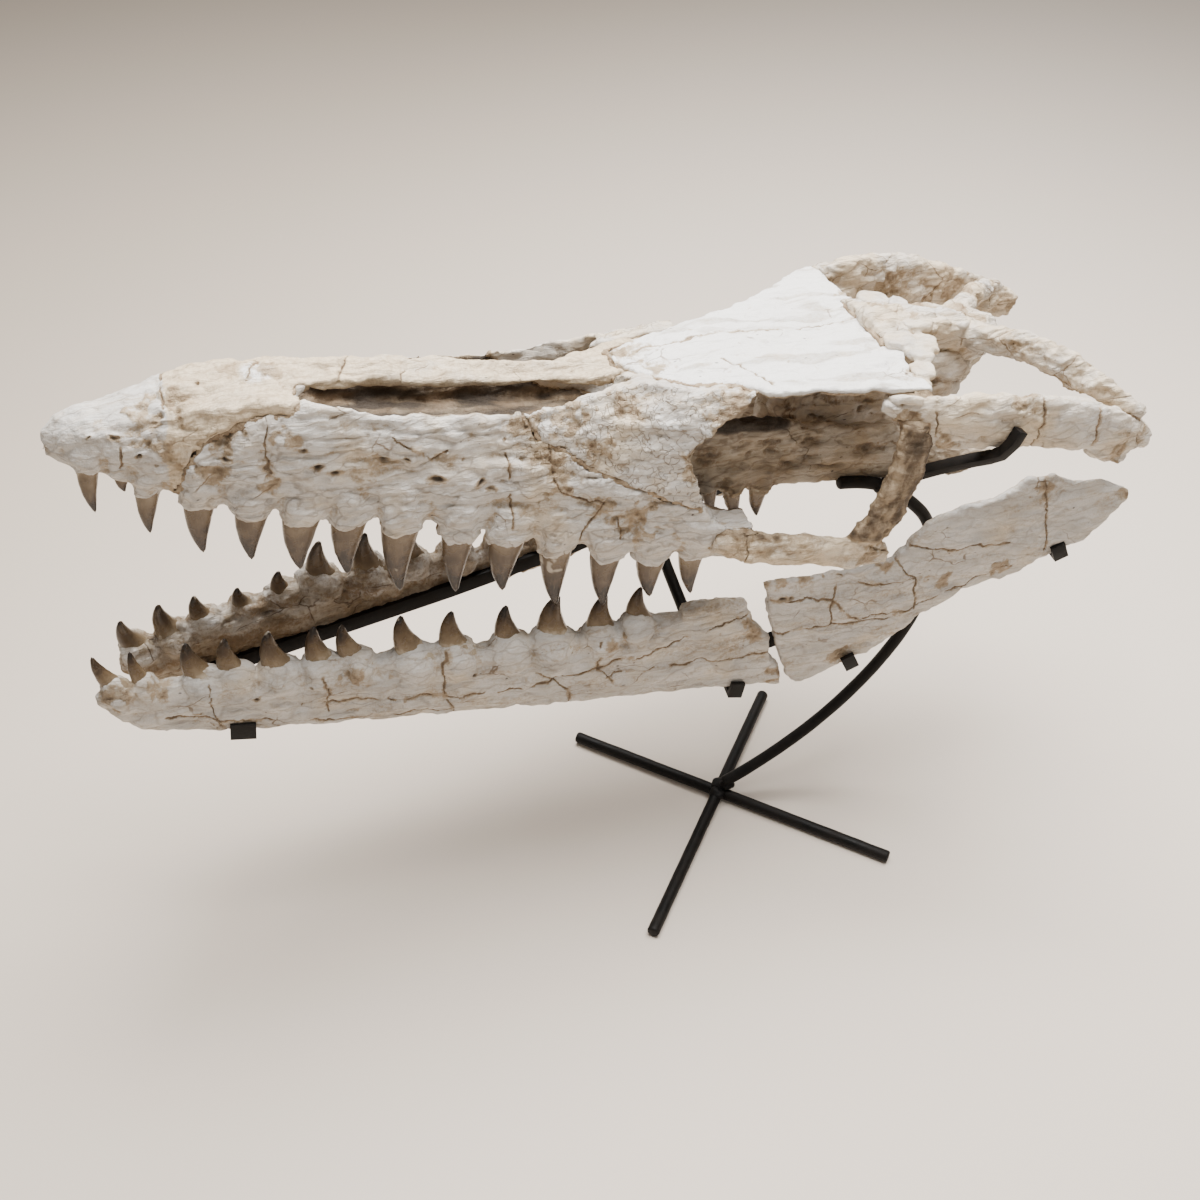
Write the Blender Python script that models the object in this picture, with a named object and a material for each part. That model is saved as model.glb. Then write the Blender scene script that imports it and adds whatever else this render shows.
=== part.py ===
"""A fossil mosasaur skull on a blackened iron rod stand.

Metres, +Z up. The origin is on the floor, under the crossing of the foot. The snout
points along -X, and the skull's left side faces -Y. The bones' own tables are in
millimetres: the skull's from the snout tip, each jaw's from its front datum.
"""

import math

import bmesh
import bpy
import numpy as np
from mathutils import Euler, Vector

# Driving dimensions
MM = 0.001
GAP = 0.0004  # clearance between pieces that touch
SEAM_GAP = 0.0007  # width of a seam between two bones
FLAT_ENOUGH = math.radians(1)  # triangles that meet at less are merged
SNOUT_TIP = (-0.449, 0.052, 0.435)  # where the snout tip is held above the floor
NOSE_UP = math.radians(10)  # the skull's tilt on its stand
JAW_DATUM_X = -0.440  # both jaws' tables start here
LEFT_JAW_Y = 0.030
LEFT_JAW_TURN = math.radians(-6.93)
RIGHT_JAW_Y = 0.065
RIGHT_JAW_TURN = math.radians(7.32)
ROD_RADIUS = 0.005
FLAT_BAR = (0.0024, 0.006)  # half thickness and half height of the jaw bars
SLIM_BAR = (0.004, 0.0035)  # the same of the arm that carries the skull
STRUT_RADIUS = 0.0048
LINK_RADIUS = 0.004
CLIP_METAL = 0.0035
CLIP_FLOOR = 0.002  # how far a clip reaches below the bone
CLIP_LIP = 0.012  # how far its lip rises over the bone's outer face
CLIP_HUG = 0.82  # share of the bone's thickness at which the lip stands
CLIP_SPAN = 10  # millimetres of jaw either side that set a clip's tilt
CLIP_LEG_SLACK = 1  # millimetres between the bar and a clip's leg
CLIP_LEG_SHORT = 0.5  # millimetres that the leg ends below the bar's edge
CRUMB = 0.000001  # vertices nearer than this are one
GROWTH_LIMIT = 2.0  # how many times further a sharp corner may move than a face when a cutter grows
TANGENT_SHARE = 0.01  # share of a route over which its direction is read
SQUARENESS = 0.8  # under 1, a bone's section is fuller than an ellipse
REACH = 140  # millimetres that a cutter reaches past the skull, to every side

# Sides of the animal, as the sign of y
LEFT = -1
RIGHT = 1

# The face, as curves along the skull: (x, z) on the midline, (x, y, z) at the side
RIDGE = [(0, 3), (10, 12), (20, 17), (38, 23), (55, 28), (66, 34), (82, 40), (100, 43), (123, 46),
         (222, 48), (342, 47), (372, 50), (400, 54), (430, 58), (480, 60)]
BAR_EDGE = [(0, 2, 2), (8, 5, 9), (20, 9, 14), (52, 13, 24), (70, 14, 32), (93, 14, 39), (130, 14, 42),
            (220, 13, 42), (342, 14, 42), (372, 24, 50), (430, 30, 57), (480, 30, 59)]
RIM = [(0, 3, 0), (8, 8, 6), (20, 14, 11), (52, 23, 19), (93, 31, 32), (123, 38, 39),
       (158, 45, 40), (198, 47, 34), (282, 48, 32), (314, 49, 37), (349, 52, 54),
       (366, 56, 59), (398, 72, 62), (430, 87, 67), (480, 90, 70)]
RIM_RIGHT = [(0, 3, 0), (8, 8, 5), (20, 15, 9), (52, 23, 14), (93, 30, 24), (123, 35, 26), (160, 38, 28),
             (198, 40, 33), (225, 40, 38), (250, 40, 40), (272, 40, 37), (293, 40, 36), (314, 40, 40),
             (336, 42, 40), (358, 42, 42), (380, 43, 45), (401, 40, 51), (418, 38, 57), (438, 48, 55),
             (480, 60, 50)]
SHOULDER = [(0, 4, -3), (8, 10, 1), (20, 18, 6), (52, 27, 13), (93, 36, 17), (123, 43, 22),
            (158, 50, 24), (198, 52, 20), (282, 55, 18), (314, 59, 22), (349, 68, 36),
            (366, 74, 40), (398, 86, 42), (430, 95, 48), (480, 98, 50)]
SHOULDER_RIGHT = [(0, 4, -3), (8, 10, 1), (20, 18, 5), (52, 27, 9), (93, 35, 13), (123, 40, 16),
                  (158, 46, 17), (198, 50, 18), (282, 53, 17), (330, 60, 20), (371, 66, 28),
                  (401, 72, 31), (438, 80, 32), (480, 84, 32)]
FLANK = [(0, 5, -8), (8, 11, -6), (20, 19, -5), (52, 29, -6), (93, 38, -8), (158, 50, -10),
         (240, 58, -12), (314, 68, -14), (349, 77, -8), (398, 90, 0), (430, 97, 2), (480, 100, 2)]
LIP = [(0, 4, -12), (8, 10, -13), (20, 17, -14), (52, 27, -22), (113, 39, -28), (158, 45, -32),
       (240, 57, -38), (314, 67, -47), (361, 78, -48), (398, 87, -48), (430, 93, -51), (480, 97, -54)]
TOOTH_LINE = [(0, 2, -13), (9, 8, -17), (31, 18, -18), (54, 23, -27), (80, 29, -31), (113, 35, -35),
              (159, 41, -40), (204, 48, -40), (243, 53, -46), (280, 59, -51), (323, 65, -59),
              (361, 71, -60), (398, 76, -64), (424, 80, -66), (480, 88, -66)]
PALATE = [(0, -9), (20, -8), (60, -5), (110, -7), (158, -11), (300, -13), (480, -13)]
ALVEOLAR_WALL = 11  # thickness of the tooth-bearing edge
WALL_LIMIT = 0.5  # but at most this share of the tooth line's distance from the middle
# The edge's inner corner, its inner face and the palate's foot: shares of the wall inwards, then how far
# they lie from the tooth line or the palate
EDGE_CORNER = (0.6, -1)
EDGE_INNER = (1.0, 5)
PALATE_FOOT = (1.5, -2)
PALATE_NARROWEST = 0.3  # share of the tooth line's distance inside which the palate's foot never comes
ROOT_FULL = 20  # from this distance off the middle, roots stand in the middle of the wall
ROOT_DEPTH = 1  # how deep an upper tooth's root starts
LOWER_ROOT_DEPTH = 3
FACE_STATIONS = [0, 5, 13, 26, 42, 56, 68, 84, 104, 124, 144, 164, 190, 216, 242, 268,
                 292, 314, 332, 349, 366, 384, 400, 416, 434, 452]

# Openings and seams of the face, in side view (x, z) or from above (x, y)
ORBIT_FRONT = [(431, 95), (432, 66), (425, 57), (411, 45), (401, 33), (397, 18), (402, 2),
               (409, -12), (414, -25), (428, -34), (445, -35), (500, -38), (500, 95)]
NARIS = [(145, 28), (160, 17), (200, 14), (330, 14), (356, 22), (369, 41), (349, 46), (300, 45),
         (175, 44), (152, 38)]
# The hollow inside the face: (x, left half width, right half width, low, high)
NASAL_CAVITY = [(130, 8, 8, 28, 32), (150, 28, 26, 6, 36), (180, 37, 33, -5, 36), (240, 43, 36, -7, 36),
                (340, 48, 40, -8, 35), (368, 52, 44, -8, 40), (400, 62, 56, -8, 50), (480, 66, 62, -8, 52)]
CAVITY_FLARE = 7  # how much wider its floor is on each side than its roof
CAVITY_FLARE_SHARE = 0.2  # and at most this share of its half width
PREMAXILLA_SEAM = [(-20, -70), (73, -70), (75, -28), (82, -4), (96, 16), (118, 28), (141, 33),
                   (150, 44), (154, 95), (-20, 95)]
PREFRONTAL_SEAM = [(283, 95), (283, 38), (300, 20), (336, 2), (372, -8), (430, -26), (520, -26), (520, 95)]
PREFRONTAL_INNER = 24  # how near the midline the prefrontals come
BAR_SEAM = ((140, -20, 30), (400, 20, 95))
NARIS_DEPTH = (10, 95)  # the nares are cut from above down to here

# The skull roof
FRONTAL_LEFT_EDGE = [(362, -12, 50), (372, -30, 53), (385, -50, 58), (398, -62, 61), (424, -69, 65),
                     (431, -80, 68), (440, -88, 70), (452, -91, 72), (500, -92, 73), (566, -94, 73)]
FRONTAL_RIGHT_EDGE = [(362, 9, 50), (380, 13, 54), (414, 20, 61), (451, 33, 66), (507, 62, 72),
                      (545, 88, 77), (566, 96, 77)]
FRONTAL_MIDLINE = [(362, 52), (383, 57), (400, 61), (426, 67), (497, 69), (552, 75), (566, 77)]
FRONTAL_THICKNESS = 9
FRONTAL_COLUMNS = 7
FRONTAL_BREAK_DEPTH = (20, 120)
FRONTAL_BREAK = [(558, -120), (561, -88), (556, -67), (565, -45), (560, -15), (570, 16), (562, 58),
                 (557, 90), (557, 120), (640, 120), (640, -120)]
FRONTAL_STATIONS = [362, 374, 386, 398, 412, 424, 432, 441, 456, 480, 512, 548, 584]
FRONTAL_EDGE_THINNING = 0.45  # share of its thickness that the roof loses at its edges
# (x, half width, top, low), and a section as (share of half width, rise over the top)
PARIETAL_TABLE = [(546, 34, 80, 44), (566, 31, 81, 42), (590, 24, 84, 40), (620, 19, 83, 40),
                  (645, 20, 80, 44), (664, 14, 76, 52)]
LEFT_PARIETAL_ARM = [(630, 8, 69, 9, 10), (652, 26, 74, 9, 10), (672, 42, 76, 8, 11), (690, 62, 71, 7, 11),
                     (708, 82, 66, 7, 10), (726, 95, 59, 6, 8), (742, 100, 53, 6, 4)]
RIGHT_PARIETAL_ARM = [(630, 8, 66, 9, 10), (655, 30, 66, 8, 10), (684, 56, 64, 8, 9), (708, 80, 60, 7, 9),
                      (730, 98, 55, 7, 8), (748, 111, 51, 6, 6)]
PARIETAL_SECTION = [(1, -4), (0.8, 0), (-0.2, 3), (-0.8, 0), (-1, -4)]
PARIETAL_KEEL = 0.6  # half width of the underside, as a share of the table's
PARIETAL_AHEAD = ((480, -60, 0), (552, 60, 120))  # cleared under the frontal
# (x, half width, top, low), and a section as (share of half width, share of height from the waist)
BRAINCASE = [(497, 22, 10, -14), (512, 28, 24, -18), (534, 30, 44, -20), (556, 30, 62, -18),
             (590, 27, 62, -10), (622, 22, 58, 4), (648, 16, 56, 22)]
BRAINCASE_SECTION = [(0.8, 1), (1, 0), (0.7, -1), (-0.7, -1), (-1, 0), (-0.8, 1)]
# Routes of the bar-shaped bones: (x, y, z, half thickness, half height)
LEFT_ARCH = [(524, 93, 60, 4, 5), (545, 95, 57, 6, 12), (572, 98, 50, 7, 20), (604, 103, 51, 8, 22),
             (640, 106, 53, 8, 21), (680, 107, 49, 8, 19), (716, 104, 41, 8, 18),
             (742, 101, 34, 9, 14), (757, 100, 32, 6, 8)]
RIGHT_ARCH = [(548, 90, 64, 4, 6), (566, 96, 62, 6, 14), (596, 102, 59, 8, 21), (630, 108, 58, 8, 22),
              (681, 113, 53, 8, 21), (725, 115, 44, 8, 18), (750, 116, 38, 8, 17), (768, 115, 36, 8, 15),
              (778, 113, 34, 5, 9)]
QUADRATE_STUB = [(706, 103, 28, 6, 7), (720, 103, 22, 7, 7), (734, 102, 17, 7, 5), (744, 101, 20, 5, 5)]
JUGAL = [(424, 91, -46, 5, 9), (446, 96, -48, 7, 12), (480, 101, -49, 7, 12), (515, 105, -52, 7, 11),
         (540, 107, -53, 7, 11), (556, 107, -54, 6, 8)]
JUGAL_RAMUS = [(530, 107, -52, 6, 12), (540, 107, -33, 7, 14), (548, 106, -8, 6, 14), (553, 104, 22, 6, 14),
               (551, 100, 50, 5, 13)]
PTERYGOID = [(408, 44, -2, 5, 20), (430, 45, -3, 7, 27), (462, 45, -5, 7, 32), (500, 44, -7, 7, 25),
             (545, 44, -8, 7, 25), (590, 48, -7, 6, 22), (625, 60, -3, 5, 14), (652, 74, 2, 4, 7)]

# Teeth: (x, crown drop or rise, width, lean of the tip along x), and a tooth's profile as
# (share of its length, radius and forward bend as shares of its width)
UPPER_TEETH = [(24, 33, 12, 3), (59, 35, 14, 0), (89, 44, 18, 2), (122, 44, 20, -1), (153, 48, 23, -1),
               (183, 51, 22, 0), (216, 63, 24, 3), (255, 57, 21, 2), (288, 50, 23, 1), (322, 57, 21, 7),
               (358, 55, 21, 5), (391, 43, 21, 5), (419, 37, 16, 7)]
PREMAXILLARY_TEETH = 2
TOOTH_PROFILE = [(-0.2, 0.68, 0.0), (0.3, 0.6, 0.05), (0.7, 0.38, 0.06), (1.0, 0.1, 0.0)]
TOOTH_SIDES = 5
UPPER_TOOTH_SPLAY = 2  # how far the upper tips stand outside their roots
LOWER_TOOTH_SPLAY = -5  # the lower tips stand inside theirs, so that the two rows pass
TOOTH_FLATNESS = 0.8  # a tooth's thickness across the jaw, as a share of its width along it
PTERYGOID_TEETH = [(419, 20, 10, 6), (437, 22, 11, 9), (456, 24, 12, 11), (478, 24, 12, 5)]
LEFT_LOWER_TEETH = [(-10, 24, 14, -11), (9, 26, 13, -5), (48, 28, 20, -7), (69, 28, 19, -2), (100, 31, 20, -3),
                    (130, 30, 20, -2), (153, 29, 19, -6), (194, 31, 21, -6), (224, 30, 21, 0),
                    (264, 30, 20, -1), (295, 34, 24, 6), (331, 29, 21, 5), (359, 25, 18, 3)]
RIGHT_LOWER_TEETH = [(7, 27, 17, -6), (33, 29, 19, -5), (57, 24, 16, -4), (86, 18, 14, -3), (114, 21, 15, 0),
                     (144, 36, 21, 2), (180, 34, 21, 0), (214, 32, 20, 0), (250, 31, 20, 1),
                     (286, 30, 20, 2), (320, 29, 19, 3), (352, 26, 18, 3), (382, 22, 16, 3)]

# The lower jaws: (x, top z, bottom z, half thickness)
LEFT_DENTARY = [(-25, 236, 229, 3), (-18, 242, 217, 6), (-4, 242, 204, 9), (24, 240, 195, 10),
                (60, 240, 189, 11), (107, 238, 183, 11), (178, 236, 176, 11), (238, 234, 170, 11),
                (300, 232, 165, 11), (345, 234, 163, 11), (366, 241, 161, 11), (378, 249, 160, 10),
                (405, 244, 158, 9), (424, 247, 155, 9), (452, 240, 150, 8), (490, 236, 146, 7)]
LEFT_DENTARY_BREAK = [(441, 280), (440, 242), (445, 226), (454, 211), (460, 203), (463, 181), (471, 171),
                      (475, 143), (473, 120), (530, 120), (530, 280)]
LEFT_REAR_JAW = [(440, 258, 190, 6), (470, 259, 160, 6), (487, 259, 147, 6), (511, 260, 155, 7),
                 (540, 260, 168, 7), (556, 268, 176, 7), (582, 299, 197, 6), (613, 306, 219, 6),
                 (634, 312, 223, 6), (650, 323, 226, 5), (672, 324, 237, 5), (690, 313, 246, 5),
                 (711, 311, 256, 4), (730, 302, 279, 3), (737, 298, 290, 2)]
LEFT_REAR_BREAK = [(452, 280), (450, 259), (456, 246), (460, 227), (467, 198), (472, 178), (481, 158),
                   (491, 147), (491, 120), (420, 120), (420, 280)]
RIGHT_DENTARY = [(-7, 240, 228, 4), (2, 246, 218, 7), (20, 248, 210, 9), (56, 254, 207, 10),
                 (100, 257, 206, 10), (150, 259, 206, 10), (195, 255, 207, 10), (245, 247, 210, 9),
                 (315, 240, 210, 9), (380, 238, 213, 8), (430, 244, 216, 8), (480, 248, 219, 7)]
RIGHT_DENTARY_BREAK = [(446, 280), (452, 250), (449, 238), (458, 229), (455, 200), (530, 200), (530, 280)]
RIGHT_REAR_JAW = [(470, 262, 222, 6), (500, 266, 223, 6), (545, 276, 225, 6), (585, 300, 232, 6),
                  (615, 308, 242, 6), (650, 322, 247, 5), (680, 320, 250, 5), (712, 312, 256, 4),
                  (735, 304, 276, 3), (745, 299, 290, 2)]
RIGHT_REAR_BREAK = [(476, 290), (470, 262), (477, 248), (474, 236), (481, 224), (480, 200), (440, 200),
                    (440, 290)]
JAW_FRONT_STEPS = (0, 5, 13)  # stations close together at a dentary's tip
JAW_EVEN_STATIONS = (28, 16)  # where even stations start behind it, and how many there are
JAW_BREAK_REACH = 40
JAW_OVERLAP = 20  # millimetres from a rear leaf's start to where clips can hold it

# The stand, in metres
FOOT_LONG = ((-0.0950, 0.1021), (0.1050, -0.1125))
FOOT_CROSS = ((0.0870, 0.0985), (-0.1060, -0.1198))
POST_ROUTE = [(0.004, 0, 0.0152), (0.022, 0, 0.023), (0.043, 0, 0.034), (0.084, 0, 0.061), (0.118, 0, 0.092),
              (0.145, 0, 0.126), (0.163, 0, 0.160), (0.171, 0, 0.200), (0.169, 0, 0.236),
              (0.158, 0, 0.262), (0.135, 0, 0.287), (0.112, 0, 0.3035), (0.095, 0, 0.3095), (0.077, 0, 0.3130)]
SKULL_ARM_ROUTE = [(0.1123, -0.003, 0.3045), (0.1350, -0.026, 0.3280), (0.1535, -0.047, 0.3460),
                   (0.1630, -0.0590, 0.3555), (0.1680, -0.0645, 0.3620), (0.1712, -0.0655, 0.3690),
                   (0.1750, -0.0655, 0.3780)]
LEFT_BAR_ROUTE = [(62, 203), (180, 192), (330, 180), (415, 180), (470, 189), (528, 206), (600, 244), (700, 284)]
RIGHT_BAR_ROUTE = [(34, 213), (60, 214), (237, 221), (314, 226), (400, 233), (470, 240), (560, 250), (690, 282)]
# Clips: place along the jaw in millimetres, and width in metres
LEFT_CLIPS = [(67, 0.018), (436, 0.011), (531, 0.011), (690, 0.011)]
RIGHT_CLIPS = [(40, 0.011), (385, 0.011), (640, 0.011)]
CROSS_STRUT = ((-0.031, 0.105, 0.232), (-0.028, -0.006, 0.181))
POST_LINK = ((0.166, -0.0290, 0.238), (0.167, -0.0058, 0.238))

# Colours, roughness and metallic value of each material
FINISHES = {
    "pale_bone": ((0.62, 0.59, 0.54), 0.75, 0.0),
    "cream_bone": ((0.60, 0.52, 0.41), 0.7, 0.0),
    "brown_bone": ((0.33, 0.26, 0.18), 0.7, 0.0),
    "blackened_iron": ((0.035, 0.03, 0.027), 0.5, 0.9),
}


def clear_scene():
    for item in list(bpy.data.objects):
        bpy.data.objects.remove(item)


def finish(name):
    """The Principled material of that name."""
    material = bpy.data.materials.get(name)
    if material is None:
        colour, roughness, metallic = FINISHES[name]
        material = bpy.data.materials.new(name)
        material.use_nodes = True
        shader = material.node_tree.nodes["Principled BSDF"]
        shader.inputs["Base Color"].default_value = (*colour, 1)
        shader.inputs["Roughness"].default_value = roughness
        shader.inputs["Metallic"].default_value = metallic
        material.diffuse_color = (*colour, 1)
    return material


def along(keys):
    """A smooth curve through rows of (place, value, ...), held level past its ends."""
    table = np.array(keys, float)
    place = table[:, 0]
    value = table[:, 1:]
    slope = np.gradient(value, place, axis=0)

    def read(x):
        x = min(max(x, place[0]), place[-1])
        i = min(int(np.searchsorted(place, x, side="right")) - 1, len(place) - 2)
        step = place[i + 1] - place[i]
        t = (x - place[i]) / step
        start = (2 * t**3 - 3 * t**2 + 1) * value[i] + (t**3 - 2 * t**2 + t) * step * slope[i]
        end = (3 * t**2 - 2 * t**3) * value[i + 1] + (t**3 - t**2) * step * slope[i + 1]
        return start + end

    return read


def add_object(name, mesh, material=None):
    item = bpy.data.objects.new(name, mesh)
    bpy.context.scene.collection.objects.link(item)
    if material:
        mesh.materials.clear()
        mesh.materials.append(finish(material))
    return item


def mesh_of(name, build):
    """A closed triangle mesh, facing out, of what build adds to a bmesh."""
    bm = bmesh.new()
    build(bm)
    bmesh.ops.triangulate(bm, faces=bm.faces)
    bmesh.ops.recalc_face_normals(bm, faces=bm.faces)
    mesh = bpy.data.meshes.new(name)
    bm.to_mesh(mesh)
    bm.free()
    return mesh


def add_rings(bm, rings):
    """Skins rings of points, each with the same count, and closes both ends."""
    rows = [[bm.verts.new(point) for point in ring] for ring in rings]
    for row, following in zip(rows, rows[1:]):
        for i in range(len(row)):
            j = (i + 1) % len(row)
            bm.faces.new((row[i], row[j], following[j], following[i]))
    bm.faces.new(rows[0])
    bm.faces.new(rows[-1])


def ring_solid(name, rings, material=None):
    return add_object(name, mesh_of(name, lambda bm: add_rings(bm, rings)), material)


def prism(name, outline, axis, low, high):
    """An outline in millimetres, extruded along y (outline in x, z) or along z (outline in x, y)."""
    if axis == "y":
        ends = [[(x * MM, end * MM, z * MM) for x, z in outline] for end in (low, high)]
    else:
        ends = [[(x * MM, y * MM, end * MM) for x, y in outline] for end in (low, high)]
    return ring_solid(name, ends)


def block(name, low, high):
    outline = [(low[0], low[1]), (high[0], low[1]), (high[0], high[1]), (low[0], high[1])]
    return prism(name, outline, "z", low[2], high[2])


def section(sides, half_width, half_height, squareness=1.0):
    """Points of a rounded bar's section, as (across, up); a low squareness gives fuller corners."""
    points = []
    for i in range(sides):
        angle = 2 * math.pi * (i + 0.5) / sides
        c = math.cos(angle)
        s = math.sin(angle)
        points.append((
            half_width * math.copysign(abs(c) ** squareness, c),
            half_height * math.copysign(abs(s) ** squareness, s),
        ))
    return points


def route_rings(route, count, outline_at, across=(0, 1, 0)):
    """Rings along a route: rows of (x, y, z, ...), with the rest handed to outline_at."""
    points = np.array([row[:3] for row in route], float)
    travel = np.concatenate([[0], np.cumsum(np.linalg.norm(np.diff(points, axis=0), axis=1))])
    read = along([(t, *row) for t, row in zip(travel, route)])
    rings = []
    for t in np.linspace(0, travel[-1], count):
        here = read(t)
        ahead = read(min(t + travel[-1] * TANGENT_SHARE, travel[-1]))
        behind = read(max(t - travel[-1] * TANGENT_SHARE, 0))
        tangent = Vector(ahead[:3] - behind[:3]).normalized()
        wide = Vector(across)
        wide = (wide - tangent * wide.dot(tangent)).normalized()
        tall = tangent.cross(wide)
        centre = Vector(here[:3])
        rings.append([centre + wide * u + tall * v for u, v in outline_at(here[3:])])
    return rings


def bone_bar(name, route, side, material, count=12, sides=8):
    """A bar-shaped bone from a route in millimetres, on the given side of the skull."""
    scaled = [(x * MM, side * y * MM, z * MM, w * MM, h * MM) for x, y, z, w, h in route]
    rings = route_rings(scaled, count, lambda size: section(sides, size[0], size[1], SQUARENESS))
    return ring_solid(name, rings, material)


def copy_of(item, name):
    twin = add_object(name, item.data.copy())
    twin.matrix_world = item.matrix_world.copy()
    return twin


def grown(item, by):
    """A copy of an object with its surface moved out, used as a cutter that leaves a gap."""
    twin = copy_of(item, item.name + "_grown")
    bm = bmesh.new()
    bm.from_mesh(twin.data)
    bm.normal_update()
    moves = [vert.normal * by * min(vert.calc_shell_factor(), GROWTH_LIMIT) for vert in bm.verts]
    for vert, move in zip(bm.verts, moves):
        vert.co += move
    bm.to_mesh(twin.data)
    bm.free()
    return twin


def keep_largest_body(mesh):
    """Drops crumbs that a cut leaves beside the main body."""
    bm = bmesh.new()
    bm.from_mesh(mesh)
    bmesh.ops.remove_doubles(bm, verts=bm.verts, dist=CRUMB)
    bmesh.ops.triangulate(bm, faces=bm.faces)
    bodies = []
    seen = set()
    for start in bm.verts:
        if start in seen:
            continue
        body = []
        queue = [start]
        seen.add(start)
        while queue:
            vert = queue.pop()
            body.append(vert)
            for edge in vert.link_edges:
                other = edge.other_vert(vert)
                if other not in seen:
                    seen.add(other)
                    queue.append(other)
        bodies.append(body)
    bodies.sort(key=len)
    for body in bodies[:-1]:
        bmesh.ops.delete(bm, geom=body, context="VERTS")
    bm.to_mesh(mesh)
    bm.free()


def combine(target, other, operation):
    """Applies a Boolean of other to target, and removes other; both are closed meshes."""
    modifier = target.modifiers.new("cut", "BOOLEAN")
    modifier.operation = operation
    modifier.solver = "MANIFOLD"  # the exact solver drops whole pieces on some of these cuts
    modifier.object = other
    bpy.context.view_layer.update()
    shaped = bpy.data.meshes.new_from_object(target.evaluated_get(bpy.context.evaluated_depsgraph_get()))
    target.modifiers.clear()
    target.data = shaped
    bpy.data.objects.remove(other)
    return target


def carve(target, *neighbours):
    """Cuts each neighbour out of target, with the gap that touching pieces keep."""
    for neighbour in neighbours:
        combine(target, grown(neighbour, GAP), "DIFFERENCE")
    keep_largest_body(target.data)
    return target


def split(target, cutter, name):
    """Parts target along cutter's surface: what is inside becomes a new piece."""
    inside = copy_of(target, name)
    combine(inside, copy_of(cutter, "cutter"), "INTERSECT")
    keep_largest_body(inside.data)
    combine(target, grown(cutter, SEAM_GAP), "DIFFERENCE")
    keep_largest_body(target.data)
    bpy.data.objects.remove(cutter)
    return inside


def tooth_rings(base, tip, width):
    """A curved, slightly flattened cone from inside the bone, at base, to its tip."""
    base = Vector(base)
    axis = Vector(tip) - base
    forward = axis.cross(Vector((0, 1, 0))).normalized()
    if forward.x > 0:
        forward.negate()
    across = forward.cross(axis).normalized()
    rings = []
    for share, radius, bend in TOOTH_PROFILE:
        centre = base + axis * share + forward * width * bend
        rings.append([centre + forward * width * radius * u + across * width * radius * TOOTH_FLATNESS * v
                      for u, v in section(TOOTH_SIDES, 1, 1)])
    return rings


def fuse_teeth(bone, teeth):
    """Joins rows of (base, tip, width) to the bone that they grow from."""

    def build(bm):
        for base, tip, width in teeth:
            add_rings(bm, tooth_rings(base, tip, width))

    combine(bone, add_object("teeth", mesh_of("teeth", build)), "UNION")
    keep_largest_body(bone.data)


def face_ring(x):
    """The face's section at x, both sides, with the vault of the palate below."""

    def half(side):
        right = side == RIGHT
        rim = RIM_RIGHT if right else RIM
        shoulder = SHOULDER_RIGHT if right else SHOULDER
        tooth_y, tooth_z = along(TOOTH_LINE)(x)
        palate_z = along(PALATE)(x)[0]
        wall = min(ALVEOLAR_WALL, tooth_y * WALL_LIMIT)
        points = [along(curve)(x) for curve in (BAR_EDGE, rim, shoulder, FLANK, LIP)]
        points.append((tooth_y, tooth_z))
        for share, rise in (EDGE_CORNER, EDGE_INNER):
            points.append((tooth_y - wall * share, tooth_z + rise))
        share, rise = PALATE_FOOT
        points.append((max(tooth_y - wall * share, tooth_y * PALATE_NARROWEST), palate_z + rise))
        return [(x * MM, side * y * MM, z * MM) for y, z in points]

    top = (x * MM, 0, along(RIDGE)(x)[0] * MM)
    roof = (x * MM, 0, along(PALATE)(x)[0] * MM)
    return [top, *half(RIGHT), roof, *reversed(half(LEFT))]


def nasal_cavity():
    """The hollow below the nares and the bar between them, open to the orbits."""
    rings = []
    for x, left, right, low, high in NASAL_CAVITY:
        flare = min(CAVITY_FLARE, left * CAVITY_FLARE_SHARE)
        outline = [(right + flare, low), (right, high), (-left, high), (-left - flare, low)]
        rings.append([(x * MM, y * MM, z * MM) for y, z in outline])
    return ring_solid("nasal_cavity", rings)


def naris(side):
    return prism("naris", [(x, side * y) for x, y in NARIS], "z", *NARIS_DEPTH)


def make_frontal():
    """The flat skull roof between the orbits, broken off unevenly behind."""
    rings = []
    for x in FRONTAL_STATIONS:
        left_y, left_z = along(FRONTAL_LEFT_EDGE)(x)
        right_y, right_z = along(FRONTAL_RIGHT_EDGE)(x)
        crown = along(FRONTAL_MIDLINE)(x)[0]
        top = []
        for share in np.linspace(0, 1, FRONTAL_COLUMNS):
            y = left_y + (right_y - left_y) * share
            edge_z = left_z if y < 0 else right_z
            out = min(abs(y) / max(abs(left_y if y < 0 else right_y), 1), 1)
            top.append((y, crown + (edge_z - crown) * out**2, out))
        under = [(y, z - FRONTAL_THICKNESS * (1 - FRONTAL_EDGE_THINNING * out)) for y, z, out in reversed(top)]
        rings.append([(x * MM, y * MM, z * MM) for y, z in [(y, z) for y, z, out in top] + under])
    frontal = ring_solid("frontal", rings, "pale_bone")
    combine(frontal, prism("frontal_break", FRONTAL_BREAK, "z", *FRONTAL_BREAK_DEPTH), "DIFFERENCE")
    keep_largest_body(frontal.data)
    return frontal


def make_parietal():
    """The table behind the frontal and its two arms that reach back to the squamosals."""
    rings = []
    for x, half_width, top, low in PARIETAL_TABLE:
        outline = [(half_width * share, top + rise) for share, rise in PARIETAL_SECTION]
        outline += [(-half_width * PARIETAL_KEEL, low), (half_width * PARIETAL_KEEL, low)]
        rings.append([(x * MM, y * MM, z * MM) for y, z in outline])
    parietal = ring_solid("parietal", rings, "cream_bone")
    for side, route in ((LEFT, LEFT_PARIETAL_ARM), (RIGHT, RIGHT_PARIETAL_ARM)):
        combine(parietal, bone_bar("arm", route, side, "cream_bone", 8), "UNION")
    return parietal


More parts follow.
